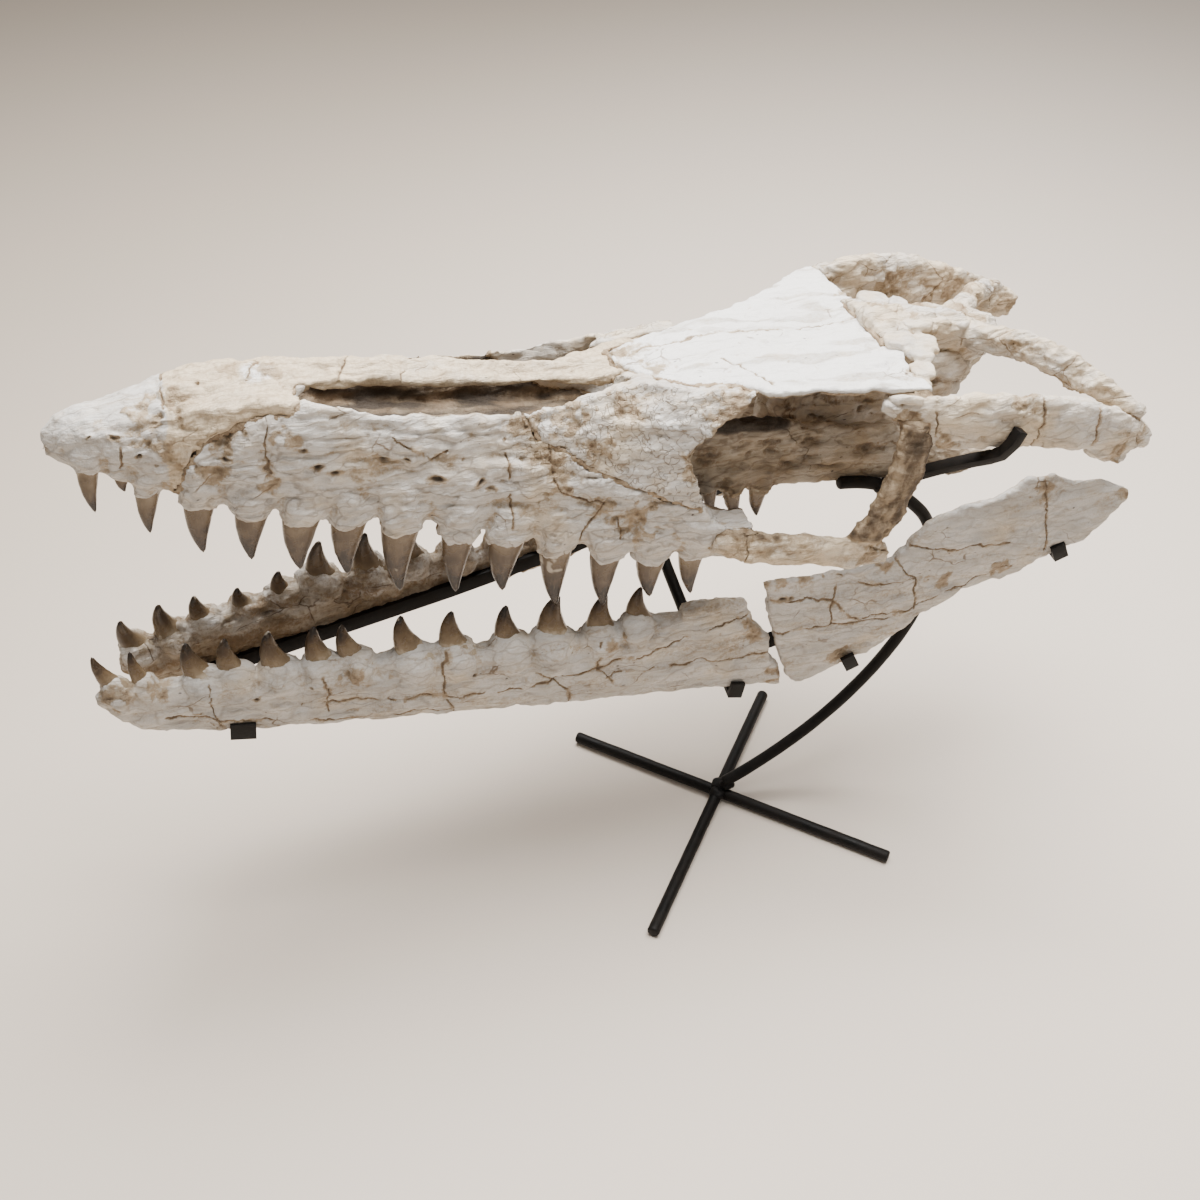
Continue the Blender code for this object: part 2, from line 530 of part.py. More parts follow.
def make_braincase():
    rings = []
    for x, half_width, top, low in BRAINCASE:
        waist = (top + low) / 2
        tall = (top - low) / 2
        rings.append([(x * MM, half_width * across * MM, (waist + tall * up) * MM)
                      for across, up in BRAINCASE_SECTION])
    return ring_solid("braincase", rings, "brown_bone")


def make_temporal_arch(side, name):
    """Postorbitofrontal and squamosal in one bar, with what is left of the quadrate below it."""
    route = LEFT_ARCH if side == LEFT else RIGHT_ARCH
    arch = bone_bar(name, route, side, "cream_bone", 12)
    combine(arch, bone_bar("stub", QUADRATE_STUB, side, "cream_bone", 5, 6), "UNION")
    return arch


def make_jugal(side, name):
    """The bar below the orbit and the ramus that rises from its rear end."""
    jugal = bone_bar(name, JUGAL, side, "cream_bone", 9)
    combine(jugal, bone_bar("ramus", JUGAL_RAMUS, side, "cream_bone", 7), "UNION")
    return jugal


def make_pterygoid(side, name):
    """The upright plate of the palate beside the braincase, with its hooked teeth."""
    pterygoid = bone_bar(name, PTERYGOID, side, "brown_bone", 11)
    under = along([(x, y, z - h) for x, y, z, w, h in PTERYGOID])
    teeth = []
    for x, drop, width, lean in PTERYGOID_TEETH:
        y, z = under(x)
        base = (x * MM, side * y * MM, (z + ROOT_DEPTH) * MM)
        teeth.append((base, ((x + lean) * MM, side * y * MM, (z - drop) * MM), width * MM))
    fuse_teeth(pterygoid, teeth)
    return pterygoid


def upper_teeth(rows, side):
    line = along(TOOTH_LINE)
    teeth = []
    for x, drop, width, lean in rows:
        y, z = line(x)
        y -= ALVEOLAR_WALL / 2 * min(1, y / ROOT_FULL)
        base = (x * MM, side * y * MM, (z + ROOT_DEPTH) * MM)
        tip = ((x + lean) * MM, side * (y + UPPER_TOOTH_SPLAY) * MM, (z - drop) * MM)
        teeth.append((base, tip, width * MM))
    return teeth


def make_face(frontal, jugals):
    """The face as one block, opened, then parted along the seams between its bones."""
    face = ring_solid("face", [face_ring(x) for x in FACE_STATIONS])
    for cutter in (prism("orbits", ORBIT_FRONT, "y", -REACH, REACH), nasal_cavity(), naris(LEFT), naris(RIGHT)):
        combine(face, cutter, "DIFFERENCE")
    carve(face, frontal, *jugals)
    front = prism("front_seam", PREMAXILLA_SEAM, "y", -REACH, REACH)
    combine(front, block("bar_seam", *BAR_SEAM), "UNION")
    pieces = {"premaxilla": split(face, front, "premaxilla")}
    for side, label in ((LEFT, "left"), (RIGHT, "right")):
        reach = sorted((side * PREFRONTAL_INNER, side * REACH))
        seam = prism("prefrontal_seam", PREFRONTAL_SEAM, "y", *reach)
        pieces[label + "_prefrontal"] = split(face, seam, label + "_prefrontal")
    left_half = block("left_half", (-REACH, -REACH, -REACH), (4 * REACH, -SEAM_GAP / MM / 2, REACH))
    pieces["left_maxilla"] = split(face, left_half, "left_maxilla")
    face.name = "right_maxilla"
    pieces["right_maxilla"] = face
    front_rows = UPPER_TEETH[:PREMAXILLARY_TEETH]
    rear_rows = UPPER_TEETH[PREMAXILLARY_TEETH:]
    fuse_teeth(pieces["premaxilla"], upper_teeth(front_rows, LEFT) + upper_teeth(front_rows, RIGHT))
    fuse_teeth(pieces["left_maxilla"], upper_teeth(rear_rows, LEFT))
    fuse_teeth(pieces["right_maxilla"], upper_teeth(rear_rows, RIGHT))
    for name, piece in pieces.items():
        piece.data.materials.clear()
        piece.data.materials.append(finish("cream_bone" if name == "premaxilla" else "pale_bone"))
    return list(pieces.values())


def make_skull():
    """Every bone of the skull, carved clear of its neighbours, set on its empty."""
    seat = bpy.data.objects.new("skull_seat", None)
    bpy.context.scene.collection.objects.link(seat)
    seat.location = SNOUT_TIP
    seat.rotation_euler = Euler((0, NOSE_UP, 0))
    frontal = make_frontal()
    arches = [make_temporal_arch(LEFT, "left_temporal_arch"), make_temporal_arch(RIGHT, "right_temporal_arch")]
    jugals = [make_jugal(LEFT, "left_jugal"), make_jugal(RIGHT, "right_jugal")]
    for arch, jugal in zip(arches, jugals):
        carve(arch, frontal)
        carve(jugal, arch, frontal)
    parietal = carve(make_parietal(), frontal, *arches)
    combine(parietal, block("ahead", *PARIETAL_AHEAD), "DIFFERENCE")
    keep_largest_body(parietal.data)
    braincase = carve(make_braincase(), frontal, parietal)
    pterygoids = [make_pterygoid(LEFT, "left_pterygoid"), make_pterygoid(RIGHT, "right_pterygoid")]
    face = make_face(frontal, jugals)
    for pterygoid in pterygoids:
        carve(pterygoid, braincase, *face)
    bones = [frontal, parietal, braincase, *arches, *jugals, *pterygoids, *face]
    for bone in bones:
        bone.parent = seat
    return {bone.name: bone for bone in bones}


def jaw_seat(name, y, turn):
    seat = bpy.data.objects.new(name, None)
    bpy.context.scene.collection.objects.link(seat)
    seat.location = (JAW_DATUM_X, y, 0)
    seat.rotation_euler = Euler((0, 0, turn))
    return seat


def jaw_plate(name, keys, stations, material):
    """A jaw bone standing on edge: a section with a full belly between its top and bottom."""
    read = along(keys)
    rings = []
    for x in stations:
        top, low, half = read(x)
        mid = (top + low) / 2
        tall = (top - low) / 2
        outline = [(u, mid + v) for u, v in section(8, half, tall, SQUARENESS)]
        rings.append([(x * MM, y * MM, z * MM) for y, z in outline])
    return ring_solid(name, rings, material)


def lower_teeth(rows, keys, side):
    read = along(keys)
    teeth = []
    for x, rise, width, lean in rows:
        top = read(x)[0]
        base = (x * MM, 0, (top - LOWER_ROOT_DEPTH) * MM)
        tip = ((x + lean) * MM, side * LOWER_TOOTH_SPLAY * MM, (top + rise) * MM)
        teeth.append((base, tip, width * MM))
    return teeth


def make_jaw(side, label, seat, dentary_keys, dentary_break, rows, rear_keys, rear_break, material):
    """The two pieces that are left of one lower jaw: the toothed front and the rear leaf."""
    first, last = dentary_keys[0][0], dentary_keys[-1][0]
    even_from, even_count = JAW_EVEN_STATIONS
    stations = [first + step for step in JAW_FRONT_STEPS]
    stations += list(np.linspace(first + even_from, last, even_count))
    dentary = jaw_plate(label + "_dentary", dentary_keys, stations, material)
    fuse_teeth(dentary, lower_teeth(rows, dentary_keys, side))
    combine(dentary, prism("break", dentary_break, "y", -JAW_BREAK_REACH, JAW_BREAK_REACH), "DIFFERENCE")
    keep_largest_body(dentary.data)
    rear = jaw_plate(label + "_rear_jaw", rear_keys, [row[0] for row in rear_keys], material)
    combine(rear, prism("break", rear_break, "y", -JAW_BREAK_REACH, JAW_BREAK_REACH), "DIFFERENCE")
    keep_largest_body(rear.data)
    for bone in (dentary, rear):
        bone.parent = seat
    return {dentary.name: dentary, rear.name: rear}


def rod(name, route, radius, count, sides=12, across=(0, 1, 0)):
    """A round iron rod along a route in metres, with one flat facing along its height axis."""
    reach = radius / math.cos(math.pi / sides)
    rings = route_rings(route, count, lambda size: section(sides, reach, reach), across)
    return ring_solid(name, rings, "blackened_iron")


def flat_bar(name, route, half_width, half_height, count, across=(0, 1, 0)):
    corners = [(half_width, -half_height), (half_width, half_height), (-half_width, half_height),
               (-half_width, -half_height)]
    return ring_solid(name, route_rings(route, count, lambda size: corners, across), "blackened_iron")


def foot_rod(name, start, end):
    """A rod that lies on the floor on one of its flats."""
    run = Vector(end) - Vector(start)
    across = (-run.y, run.x, 0)
    return rod(name, [(*start, ROD_RADIUS), (*end, ROD_RADIUS)], ROD_RADIUS, 2, 12, across)


def make_foot():
    """Three rods welded to a cross: one runs through, two butt against it."""
    long_rod = foot_rod("foot_rod_long", *FOOT_LONG)
    back, front = FOOT_CROSS
    middle = (0.0, 0.0)
    rear_rod = carve(foot_rod("foot_rod_rear", middle, back), long_rod)
    front_rod = carve(foot_rod("foot_rod_front", middle, front), long_rod)
    return [long_rod, rear_rod, front_rod]


def clip(name, x, width, jaw_bone, keys, bar_z, inner):
    """A square hook from the jaw bar, under the bone's edge and up its outer face."""
    read = along(keys)
    top, low, half = read(x)
    tilt = math.atan2(read(x + CLIP_SPAN)[1] - read(x - CLIP_SPAN)[1], 2 * CLIP_SPAN)
    metal = CLIP_METAL / MM
    leg_y = inner * (half + 2 * FLAT_BAR[0] / MM + CLIP_LEG_SLACK)
    lip_y = -inner * (half * CLIP_HUG + metal)
    leg_top = bar_z - low - FLAT_BAR[1] / MM - CLIP_LEG_SHORT
    floor = -CLIP_FLOOR / MM
    lip_top = CLIP_LIP / MM
    outline = [(leg_y, leg_top), (leg_y, floor), (lip_y, floor), (lip_y, lip_top),
               (lip_y + inner * metal, lip_top), (lip_y + inner * metal, floor + metal),
               (leg_y - inner * metal, floor + metal), (leg_y - inner * metal, leg_top)]
    ends = []
    for end in (-width / 2, width / 2):
        ends.append([(x * MM + end * math.cos(tilt) - up * MM * math.sin(tilt), y * MM,
                      low * MM + end * math.sin(tilt) + up * MM * math.cos(tilt)) for y, up in outline])
    hook = ring_solid(name, ends, "blackened_iron")
    hook.parent = jaw_bone.parent
    bpy.context.view_layer.update()
    return carve(hook, jaw_bone)


def make_jaw_holder(label, seat, inner, bar_route, clips, bones, keys):
    """The flat bar along a jaw's inner face and the clips on it."""
    dentary, rear = bones
    dentary_keys, rear_keys = keys
    reads = (along(dentary_keys), along(rear_keys))
    route = []
    for x, z in bar_route:
        half = reads[0](x)[2] if x < rear_keys[0][0] else reads[1](x)[2]
        route.append((x * MM, inner * (half * MM + FLAT_BAR[0] + GAP), z * MM))
    bar = flat_bar(label + "_jaw_bar", route, *FLAT_BAR, 14)
    bar.parent = seat
    bpy.context.view_layer.update()
    carve(bar, dentary, rear)
    z_at = along(bar_route)
    pieces = [bar]
    for number, (x, width) in enumerate(clips, 1):
        on_rear = x > rear_keys[0][0] + JAW_OVERLAP
        bone = rear if on_rear else dentary
        bone_keys = rear_keys if on_rear else dentary_keys
        hook = clip(f"{label}_jaw_clip_{number}", x, width, bone, bone_keys, z_at(x)[0], inner)
        pieces.append(carve(hook, bar))
    return pieces


def make_stand(skull, jaws):
    foot = make_foot()
    bpy.context.view_layer.update()
    post = rod("post", POST_ROUTE, ROD_RADIUS, 18, 8)
    carve(post, *foot, skull["left_pterygoid"], skull["braincase"])
    arm = flat_bar("skull_arm", SKULL_ARM_ROUTE, *SLIM_BAR, 12)
    carve(arm, post, skull["left_temporal_arch"], skull["left_pterygoid"])
    strut = rod("cross_strut", CROSS_STRUT, STRUT_RADIUS, 2, 8, (1, 0, 0))
    link = rod("post_link", POST_LINK, LINK_RADIUS, 2, 8, (1, 0, 0))
    carve(strut, jaws["left_jaw_bar"], jaws["right_jaw_bar"], jaws["left_dentary"])
    carve(link, jaws["left_jaw_bar"], post, jaws["left_rear_jaw"])


def slim(item):
    """Merges triangles that lie in one plane, so that a cut leaves no needless ones."""
    bm = bmesh.new()
    bm.from_mesh(item.data)
    bmesh.ops.dissolve_limit(bm, angle_limit=FLAT_ENOUGH, verts=bm.verts, edges=bm.edges)
    bmesh.ops.triangulate(bm, faces=bm.faces)
    bm.to_mesh(item.data)
    bm.free()


def main():
    clear_scene()
    skull = make_skull()
    left_seat = jaw_seat("left_jaw_seat", LEFT_JAW_Y, LEFT_JAW_TURN)
    right_seat = jaw_seat("right_jaw_seat", RIGHT_JAW_Y, RIGHT_JAW_TURN)
    jaws = make_jaw(LEFT, "left", left_seat, LEFT_DENTARY, LEFT_DENTARY_BREAK, LEFT_LOWER_TEETH,
                    LEFT_REAR_JAW, LEFT_REAR_BREAK, "pale_bone")
    jaws |= make_jaw(RIGHT, "right", right_seat, RIGHT_DENTARY, RIGHT_DENTARY_BREAK, RIGHT_LOWER_TEETH,
                     RIGHT_REAR_JAW, RIGHT_REAR_BREAK, "brown_bone")
    bpy.context.view_layer.update()
    left = make_jaw_holder("left", left_seat, 1, LEFT_BAR_ROUTE, LEFT_CLIPS,
                           (jaws["left_dentary"], jaws["left_rear_jaw"]), (LEFT_DENTARY, LEFT_REAR_JAW))
    right = make_jaw_holder("right", right_seat, -1, RIGHT_BAR_ROUTE, RIGHT_CLIPS,
                            (jaws["right_dentary"], jaws["right_rear_jaw"]), (RIGHT_DENTARY, RIGHT_REAR_JAW))
    for item in left + right:
        jaws[item.name] = item
    make_stand(skull, jaws)
    for item in bpy.data.objects:
        if item.type == "MESH":
            slim(item)


main()
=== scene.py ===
"""The looks of the fossil mosasaur skull on its iron rod stand.

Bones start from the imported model's solids, are remeshed finely and weathered in code.
Each bone is worked in its own millimetres: the skull's from the snout tip, each jaw's
from its front datum. Teeth, gum sockets, rods and welds are made here.
"""

import contextlib
import itertools
import math

import bmesh
import bpy
import numpy as np
from mathutils import Euler, Matrix, Vector, bvhtree


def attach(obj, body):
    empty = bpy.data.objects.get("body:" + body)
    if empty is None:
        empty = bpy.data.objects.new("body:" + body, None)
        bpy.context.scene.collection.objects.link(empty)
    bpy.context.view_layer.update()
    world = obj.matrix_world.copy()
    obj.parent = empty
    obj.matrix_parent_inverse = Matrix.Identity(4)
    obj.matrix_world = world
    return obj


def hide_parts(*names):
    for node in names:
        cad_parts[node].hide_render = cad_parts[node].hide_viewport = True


MM = 0.001
WELDED = 0.002  # corners of a solid nearer than this, in millimetres, are one

# The three frames that bones are worked in, as (place, turn)
SKULL_FRAME = ((-0.449, 0.052, 0.435), (0, math.radians(10), 0))
LEFT_JAW_FRAME = ((-0.440, 0.030, 0), (0, 0, math.radians(-6.93)))
RIGHT_JAW_FRAME = ((-0.440, 0.065, 0), (0, 0, math.radians(7.32)))

LEFT = -1
RIGHT = 1

# Large numbers that scramble a cell's place and a seed
CELL_PRIMES = (73856093, 19349663, 83492791)
SEED_PRIME = 26544357
MIXERS = (1274126177, 668265263)

# Where teeth stand, in millimetres: (x, y, z) along the gum, then (x, crown, width, lean of the tip)
TOOTH_LINE = [(0, 2, -13), (9, 8, -17), (31, 18, -18), (54, 23, -27), (80, 29, -31), (113, 35, -35),
              (159, 41, -40), (204, 48, -40), (243, 53, -46), (280, 59, -51), (323, 65, -59),
              (361, 71, -60), (398, 76, -64), (424, 80, -66), (480, 88, -66)]
UPPER_TEETH = [(24, 33, 12, 3), (59, 35, 14, 0), (89, 44, 18, 2), (122, 44, 20, -1), (153, 48, 23, -1),
               (183, 51, 22, 0), (216, 63, 24, 3), (255, 57, 21, 2), (288, 50, 23, 1), (322, 57, 21, 7),
               (358, 55, 21, 5), (391, 43, 21, 5), (419, 37, 16, 7)]
PREMAXILLARY_TEETH = 2
STUB_TOOTH = (44, 10, 8, 1)  # a short crown between the front two on the left
PTERYGOID_LINE = [(408, 44, -22), (430, 45, -30), (462, 45, -37), (500, 44, -32), (545, 44, -33)]
PTERYGOID_TEETH = [(419, 20, 10, 6), (437, 22, 11, 9), (456, 24, 12, 11), (478, 24, 12, 5)]
LEFT_JAW_TOP = [(-25, 236), (-18, 242), (-4, 242), (24, 240), (60, 240), (107, 238), (178, 236), (238, 234),
                (300, 232), (345, 234), (366, 241), (378, 249)]
LEFT_LOWER_TEETH = [(-10, 24, 14, -11), (9, 26, 13, -5), (48, 28, 20, -7), (69, 28, 19, -2),
                    (100, 31, 20, -3), (130, 30, 20, -2), (153, 29, 19, -6), (194, 31, 21, -6),
                    (224, 30, 21, 0), (264, 30, 20, -1), (295, 34, 24, 6), (331, 29, 21, 5),
                    (359, 25, 18, 3)]
RIGHT_JAW_TOP = [(-7, 240), (2, 246), (20, 248), (56, 254), (100, 257), (150, 259), (195, 255), (245, 247),
                 (315, 240), (380, 238), (430, 244)]
RIGHT_LOWER_TEETH = [(7, 27, 17, -6), (33, 29, 19, -5), (57, 24, 16, -4), (86, 18, 14, -3),
                     (114, 21, 15, 0), (144, 36, 21, 2), (180, 34, 21, 0), (214, 32, 20, 0),
                     (250, 31, 20, 1), (286, 30, 20, 2), (320, 29, 19, 3), (352, 26, 18, 3),
                     (382, 22, 16, 3)]
# Where teeth are cut off the solids: past the gum line, out to these heights and x
LOWER_GUM_END = 366
LOWER_CUT_END = 392
LOWER_CUT_FAR = 330
UPPER_CUT_FAR = -170
PTERYGOID_CUT_FAR = -110
BEFORE_GUM = 40
CUT_HALF_WIDTH = 150
UPPER_SPLAY = 2  # how far tips stand outwards
LOWER_SPLAY = -5
ALVEOLAR_WALL = 11  # thickness of bone that carries the upper teeth

# A crown as (share of its length, radius and forward bend as shares of its width)
CROWN = [(-0.3, 0.56, -0.02), (0.0, 0.58, 0.0), (0.2, 0.54, 0.05), (0.4, 0.46, 0.09), (0.6, 0.355, 0.1),
         (0.78, 0.235, 0.075), (0.92, 0.12, 0.025), (0.985, 0.055, 0.0), (1.0, 0.01, 0.0)]
LOWER_CROWN = [(-0.2, 0.66, -0.1), (0.0, 0.66, -0.08), (0.15, 0.57, 0.0), (0.35, 0.44, 0.09),
               (0.55, 0.34, 0.13), (0.75, 0.235, 0.11), (0.9, 0.14, 0.05), (0.975, 0.07, 0.01),
               (1.0, 0.01, 0.0)]
CHIPPED_TOOTH = 4  # counted from the left maxilla's front
VEINED_TOOTH = 7
CROWN_SIDES = 20
CROWN_RINGS = 24
CROWN_FLATNESS = 0.8
SOCKET_SIDES = 14
SOCKET_RINGS = 8
SOCKET_FLATNESS = 0.85
# The bony socket round a crown's base, in the same shares
SOCKET = [(-0.45, 0.7, 0.0), (-0.12, 0.78, 0.0), (0.04, 0.7, 0.02), (0.17, 0.6, 0.04), (0.22, 0.45, 0.05)]
LOWER_SOCKET = [(-0.6, 0.62, 0.0), (-0.1, 0.8, 0.0), (0.1, 0.72, 0.02), (0.24, 0.6, 0.04),
                (0.3, 0.45, 0.04)]

# Bones: slot, frame, voxel, smoothing passes, tone from pale 0 to cream 1, then the
# amplitudes of lumps, fibres and fine relief, and how cracked the bone is
BONES = {
    "premaxilla": ("cream_bone", SKULL_FRAME, 1.5, 10, 0.35, 0.6, 0.22, 0.14, 0.3),
    "left_maxilla": ("pale_bone", SKULL_FRAME, 1.55, 10, 0.12, 0.85, 0.45, 0.18, 0.25),
    "right_maxilla": ("pale_bone", SKULL_FRAME, 2.1, 8, 0.3, 0.7, 0.35, 0.2, 0.8),
    "left_prefrontal": ("pale_bone", SKULL_FRAME, 1.4, 9, 0.3, 0.7, 0.15, 0.3, 0.2),
    "right_prefrontal": ("pale_bone", SKULL_FRAME, 1.8, 8, 0.4, 0.6, 0.15, 0.35, 0.6),
    "frontal": ("pale_bone", SKULL_FRAME, 1.45, 8, 0.02, 0.42, 0.16, 0.1, 0.3),
    "parietal": ("cream_bone", SKULL_FRAME, 1.4, 6, 0.6, 1.0, 0.25, 0.25, 1.5),
    "left_temporal_arch": ("cream_bone", SKULL_FRAME, 1.4, 8, 0.55, 0.55, 0.25, 0.12, 0.6),
    "right_temporal_arch": ("cream_bone", SKULL_FRAME, 1.6, 8, 0.7, 0.9, 0.25, 0.25, 1.2),
    "left_jugal": ("cream_bone", SKULL_FRAME, 1.35, 8, 0.8, 0.5, 0.4, 0.1, 0.3),
    "right_jugal": ("cream_bone", SKULL_FRAME, 1.8, 8, 0.75, 0.8, 0.3, 0.22, 1.0),
    "left_pterygoid": ("brown_bone", SKULL_FRAME, 1.6, 8, 0.5, 1.1, 0.5, 0.22, 0.5),
    "right_pterygoid": ("brown_bone", SKULL_FRAME, 2.0, 8, 0.5, 1.1, 0.4, 0.3, 0.8),
    "braincase": ("brown_bone", SKULL_FRAME, 1.9, 8, 0.5, 1.2, 0.2, 0.4, 0.9),
    "left_dentary": ("pale_bone", LEFT_JAW_FRAME, 1.55, 10, 0.1, 0.55, 0.22, 0.14, 0.5),
    "left_rear_jaw": ("pale_bone", LEFT_JAW_FRAME, 1.5, 8, 0.08, 0.5, 0.12, 0.1, 0.45),
    "right_dentary": ("brown_bone", RIGHT_JAW_FRAME, 1.7, 8, 0.5, 0.9, 0.3, 0.35, 0.9),
    "right_rear_jaw": ("brown_bone", RIGHT_JAW_FRAME, 1.9, 8, 0.4, 0.8, 0.3, 0.3, 0.8),
}
# Old breaks filled with brown matrix, drawn on a bone's side as (x, z) or on its top as (x, y)
SEAMS = {
    "frontal": {
        "top": [
            [(362, -4), (418, -6), (470, -3), (520, 3), (572, 6)],
            [(428, -38), (436, -50), (441, -62), (443, -80)]]},
    "premaxilla": {
        "top": [
            [(70, 14), (68, -4), (71, -20)], [(177, -16), (184, 0), (188, 14)],
            [(216, -16), (222, 0), (228, 14)], [(118, -16), (126, 2), (131, 16)]],
        "side": [
            [(40, 16), (44, 4), (43, -12)]]},
    "left_maxilla": {
        "side": [
            [(128, 30), (127, 4), (131, -22), (130, -34)], [(277, 20), (281, -18), (287, -50)],
            [(304, 23), (306, 2), (313, -14), (330, -20), (345, -24)], [(357, -34), (360, -52)],
            [(345, -24), (338, -38), (334, -52)], [(205, 22), (228, 6), (238, 12)]]},
    "left_dentary": {
        "side": [
            [(110, 211), (180, 202), (238, 194), (287, 196), (330, 206), (359, 210), (441, 231)],
            [(331, 195), (375, 194), (470, 189)], [(330, 230), (326, 203), (338, 189)],
            [(52, 240), (50, 214), (56, 190)], [(132, 236), (134, 215), (128, 198)],
            [(217, 236), (214, 203), (219, 172)], [(90, 196), (150, 186), (215, 181)],
            [(284, 207), (302, 186), (306, 166)], [(12, 216), (60, 206), (92, 196)]]},
    "left_rear_jaw": {
        "side": [
            [(553, 275), (562, 254), (571, 241), (576, 212)], [(657, 330), (667, 295), (680, 250)],
            [(456, 243), (505, 232), (531, 211), (577, 215)],
            [(462, 205), (507, 209), (548, 208), (587, 218), (617, 233), (650, 240)],
            [(553, 275), (602, 267), (645, 265)], [(511, 252), (506, 232), (509, 209)],
            [(500, 259), (530, 246), (571, 241)]]},
    "left_temporal_arch": {
        "side": [
            [(560, 68), (566, 50), (570, 30)], [(640, 72), (644, 52), (646, 34)],
            [(690, 66), (695, 48), (700, 34)]]},
    "left_jugal": {
        "side": [
            [(446, -36), (449, -48), (447, -60)], [(536, -44), (548, -48), (556, -50)]]},
}
# Patches of brown matrix on the bone: (x, y, z, radius)
MATRIX = {
    "premaxilla": [(60, -22, 22, 13), (72, -24, 12, 14), (80, -30, 0, 12), (78, -20, 30, 10),
        (132, -6, 44, 12), (112, 0, 44, 10)],
    "left_maxilla": [(92, -34, 14, 16), (84, -30, 28, 14), (98, -38, -8, 12), (104, -36, 22, 10),
        (129, -44, -16, 7), (288, -55, 26, 12), (306, -62, 8, 12), (314, -66, -12, 10), (368, -78, -34, 14),
        (344, -72, -26, 10), (140, -44, 20, 8)],
    "left_prefrontal": [(292, -50, 36, 14), (318, -56, 36, 14), (330, -60, 20, 14), (420, -84, 52, 16),
        (350, -62, 46, 12), (400, -84, 14, 12), (425, -90, 28, 10)],
    "frontal": [(366, -8, 52, 16), (384, -34, 54, 10), (372, 6, 52, 12), (566, 0, 76, 12),
        (562, 40, 76, 10), (558, -70, 72, 8)],
    "parietal": [(572, 4, 82, 10), (590, -22, 82, 12), (604, 14, 84, 12), (640, 4, 80, 14),
        (664, -34, 74, 10), (700, -72, 64, 10), (690, 60, 64, 12), (566, 28, 80, 9)],
    "left_temporal_arch": [(545, -97, 50, 14), (575, -100, 32, 12), (625, -106, 66, 12),
        (736, -103, 26, 14), (744, -102, 40, 10)],
    "right_temporal_arch": [(570, 98, 60, 14), (640, 108, 52, 20), (700, 114, 48, 20), (770, 114, 36, 14)],
    "left_jugal": [(444, -98, -42, 10), (462, -100, -44, 8), (540, -107, -52, 10), (546, -108, -22, 10),
        (550, -104, 40, 12), (548, -107, -40, 9)],
    "left_dentary": [(-10, -6, 240, 12), (20, -9, 238, 10), (445, -6, 214, 12), (470, -5, 160, 10),
        (372, -8, 246, 8), (340, -9, 226, 9), (62, -9, 192, 8), (150, -11, 232, 8)],
    "left_rear_jaw": [(462, -5, 256, 9), (490, -5, 259, 9), (662, -5, 312, 9), (548, -6, 260, 8),
        (640, -5, 240, 9), (520, -6, 176, 10), (735, -3, 298, 7), (596, -6, 236, 7)],
}
# Broken plates over the roof's rear corner: (x, y, z, length, width, turn, sideways tip), angles in degrees
RUBBLE = [(566, -30, 78, 30, 24, 20, 5), (574, -48, 75, 26, 20, -35, -6), (567, -66, 72, 26, 18, 60, -10),
          (584, -36, 77, 26, 18, -60, 8), (590, -16, 82, 30, 18, 10, -6), (557, -80, 69, 24, 17, 35, -14),
          (563, 2, 79, 24, 17, 80, 4), (606, -8, 83, 26, 17, -25, 6), (577, 26, 80, 26, 17, -15, 8),
          (540, -93, 65, 26, 17, -12, -22), (628, -12, 81, 26, 16, 30, -8), (590, 14, 83, 22, 18, 55, 5)]
RUBBLE_LOOK = (0.5, 0.3, 0.15, 0.06, 0.3)
# Holes, darkened with painted shade: (x, y, z, radius)
HOLES = {
    "premaxilla": [(42, -26, 32, 1.8), (40, -22, 10, 2.4), (70, -32, 28, 2.2), (34, -16, 34, 1.2),
        (88, -10, 42, 1.2), (26, -20, 8, 1.2), (55, -30, 0, 1.5)],
    "left_maxilla": [(114, -44, 4, 1.8), (160, -50, 2, 2.8), (171, -52, -3, 2.4), (200, -55, 3, 2.8),
        (212, -56, 5, 1.8), (232, -58, -6, 2.8), (263, -60, -9, 2.4), (270, -61, -15, 1.8),
        (146, -48, 14, 1.8), (186, -54, -16, 1.6), (104, -40, 2, 2.2), (250, -58, 6, 1.4),
        (222, -56, 14, 1.3)],
    "frontal": [(536, -26, 75, 1.7), (508, -55, 72, 1.2), (568, -34, 77, 1.2), (487, -59, 70, 1.0),
        (420, 4, 67, 1.0), (450, -20, 69, 1.0), (520, 20, 74, 1.2), (470, -50, 69, 0.9)],
    "left_rear_jaw": [(468, -6, 242, 2.6), (474, -6, 242, 2.2)],
    "left_dentary": [(40, -10, 214, 1.4), (84, -11, 222, 1.4), (121, -11, 226, 1.2), (176, -11, 222, 1.3),
        (236, -11, 216, 1.2)],
}

# Bones whose surfaces in the hollow of the orbits are in deep shade
BEHIND_ORBIT = ["left_pterygoid", "right_pterygoid", "right_prefrontal", "braincase"]
ORBIT_HOLLOW = (398, 496)  # from and to which x
# How far the hollow behind the nostrils reaches to each side: (x, y)
NASAL_HALF_WIDTH = [(128, 0), (150, 34), (180, 44), (240, 51), (340, 57), (400, 72), (480, 76)]
NASAL_FLOOR = 27
WORMY_FROM = (268, -10)  # x and z at which the left maxilla's worm lines begin
JUGAL_BEND = -44  # height at which the jugal turns up
SNOUT_STEP = 70  # x at which the pale snout tip ends
BLEACHED_PATCH = (126, -8, 46)
RUBBLE_SEED = 700
RUBBLE_VOXEL = 1.3
RUBBLE_CORNERS = 9
RUBBLE_PROFILE = [(-4, 0.95), (0.6, 1.0), (1.7, 0.93)]  # a plate's (height, share of its outline)

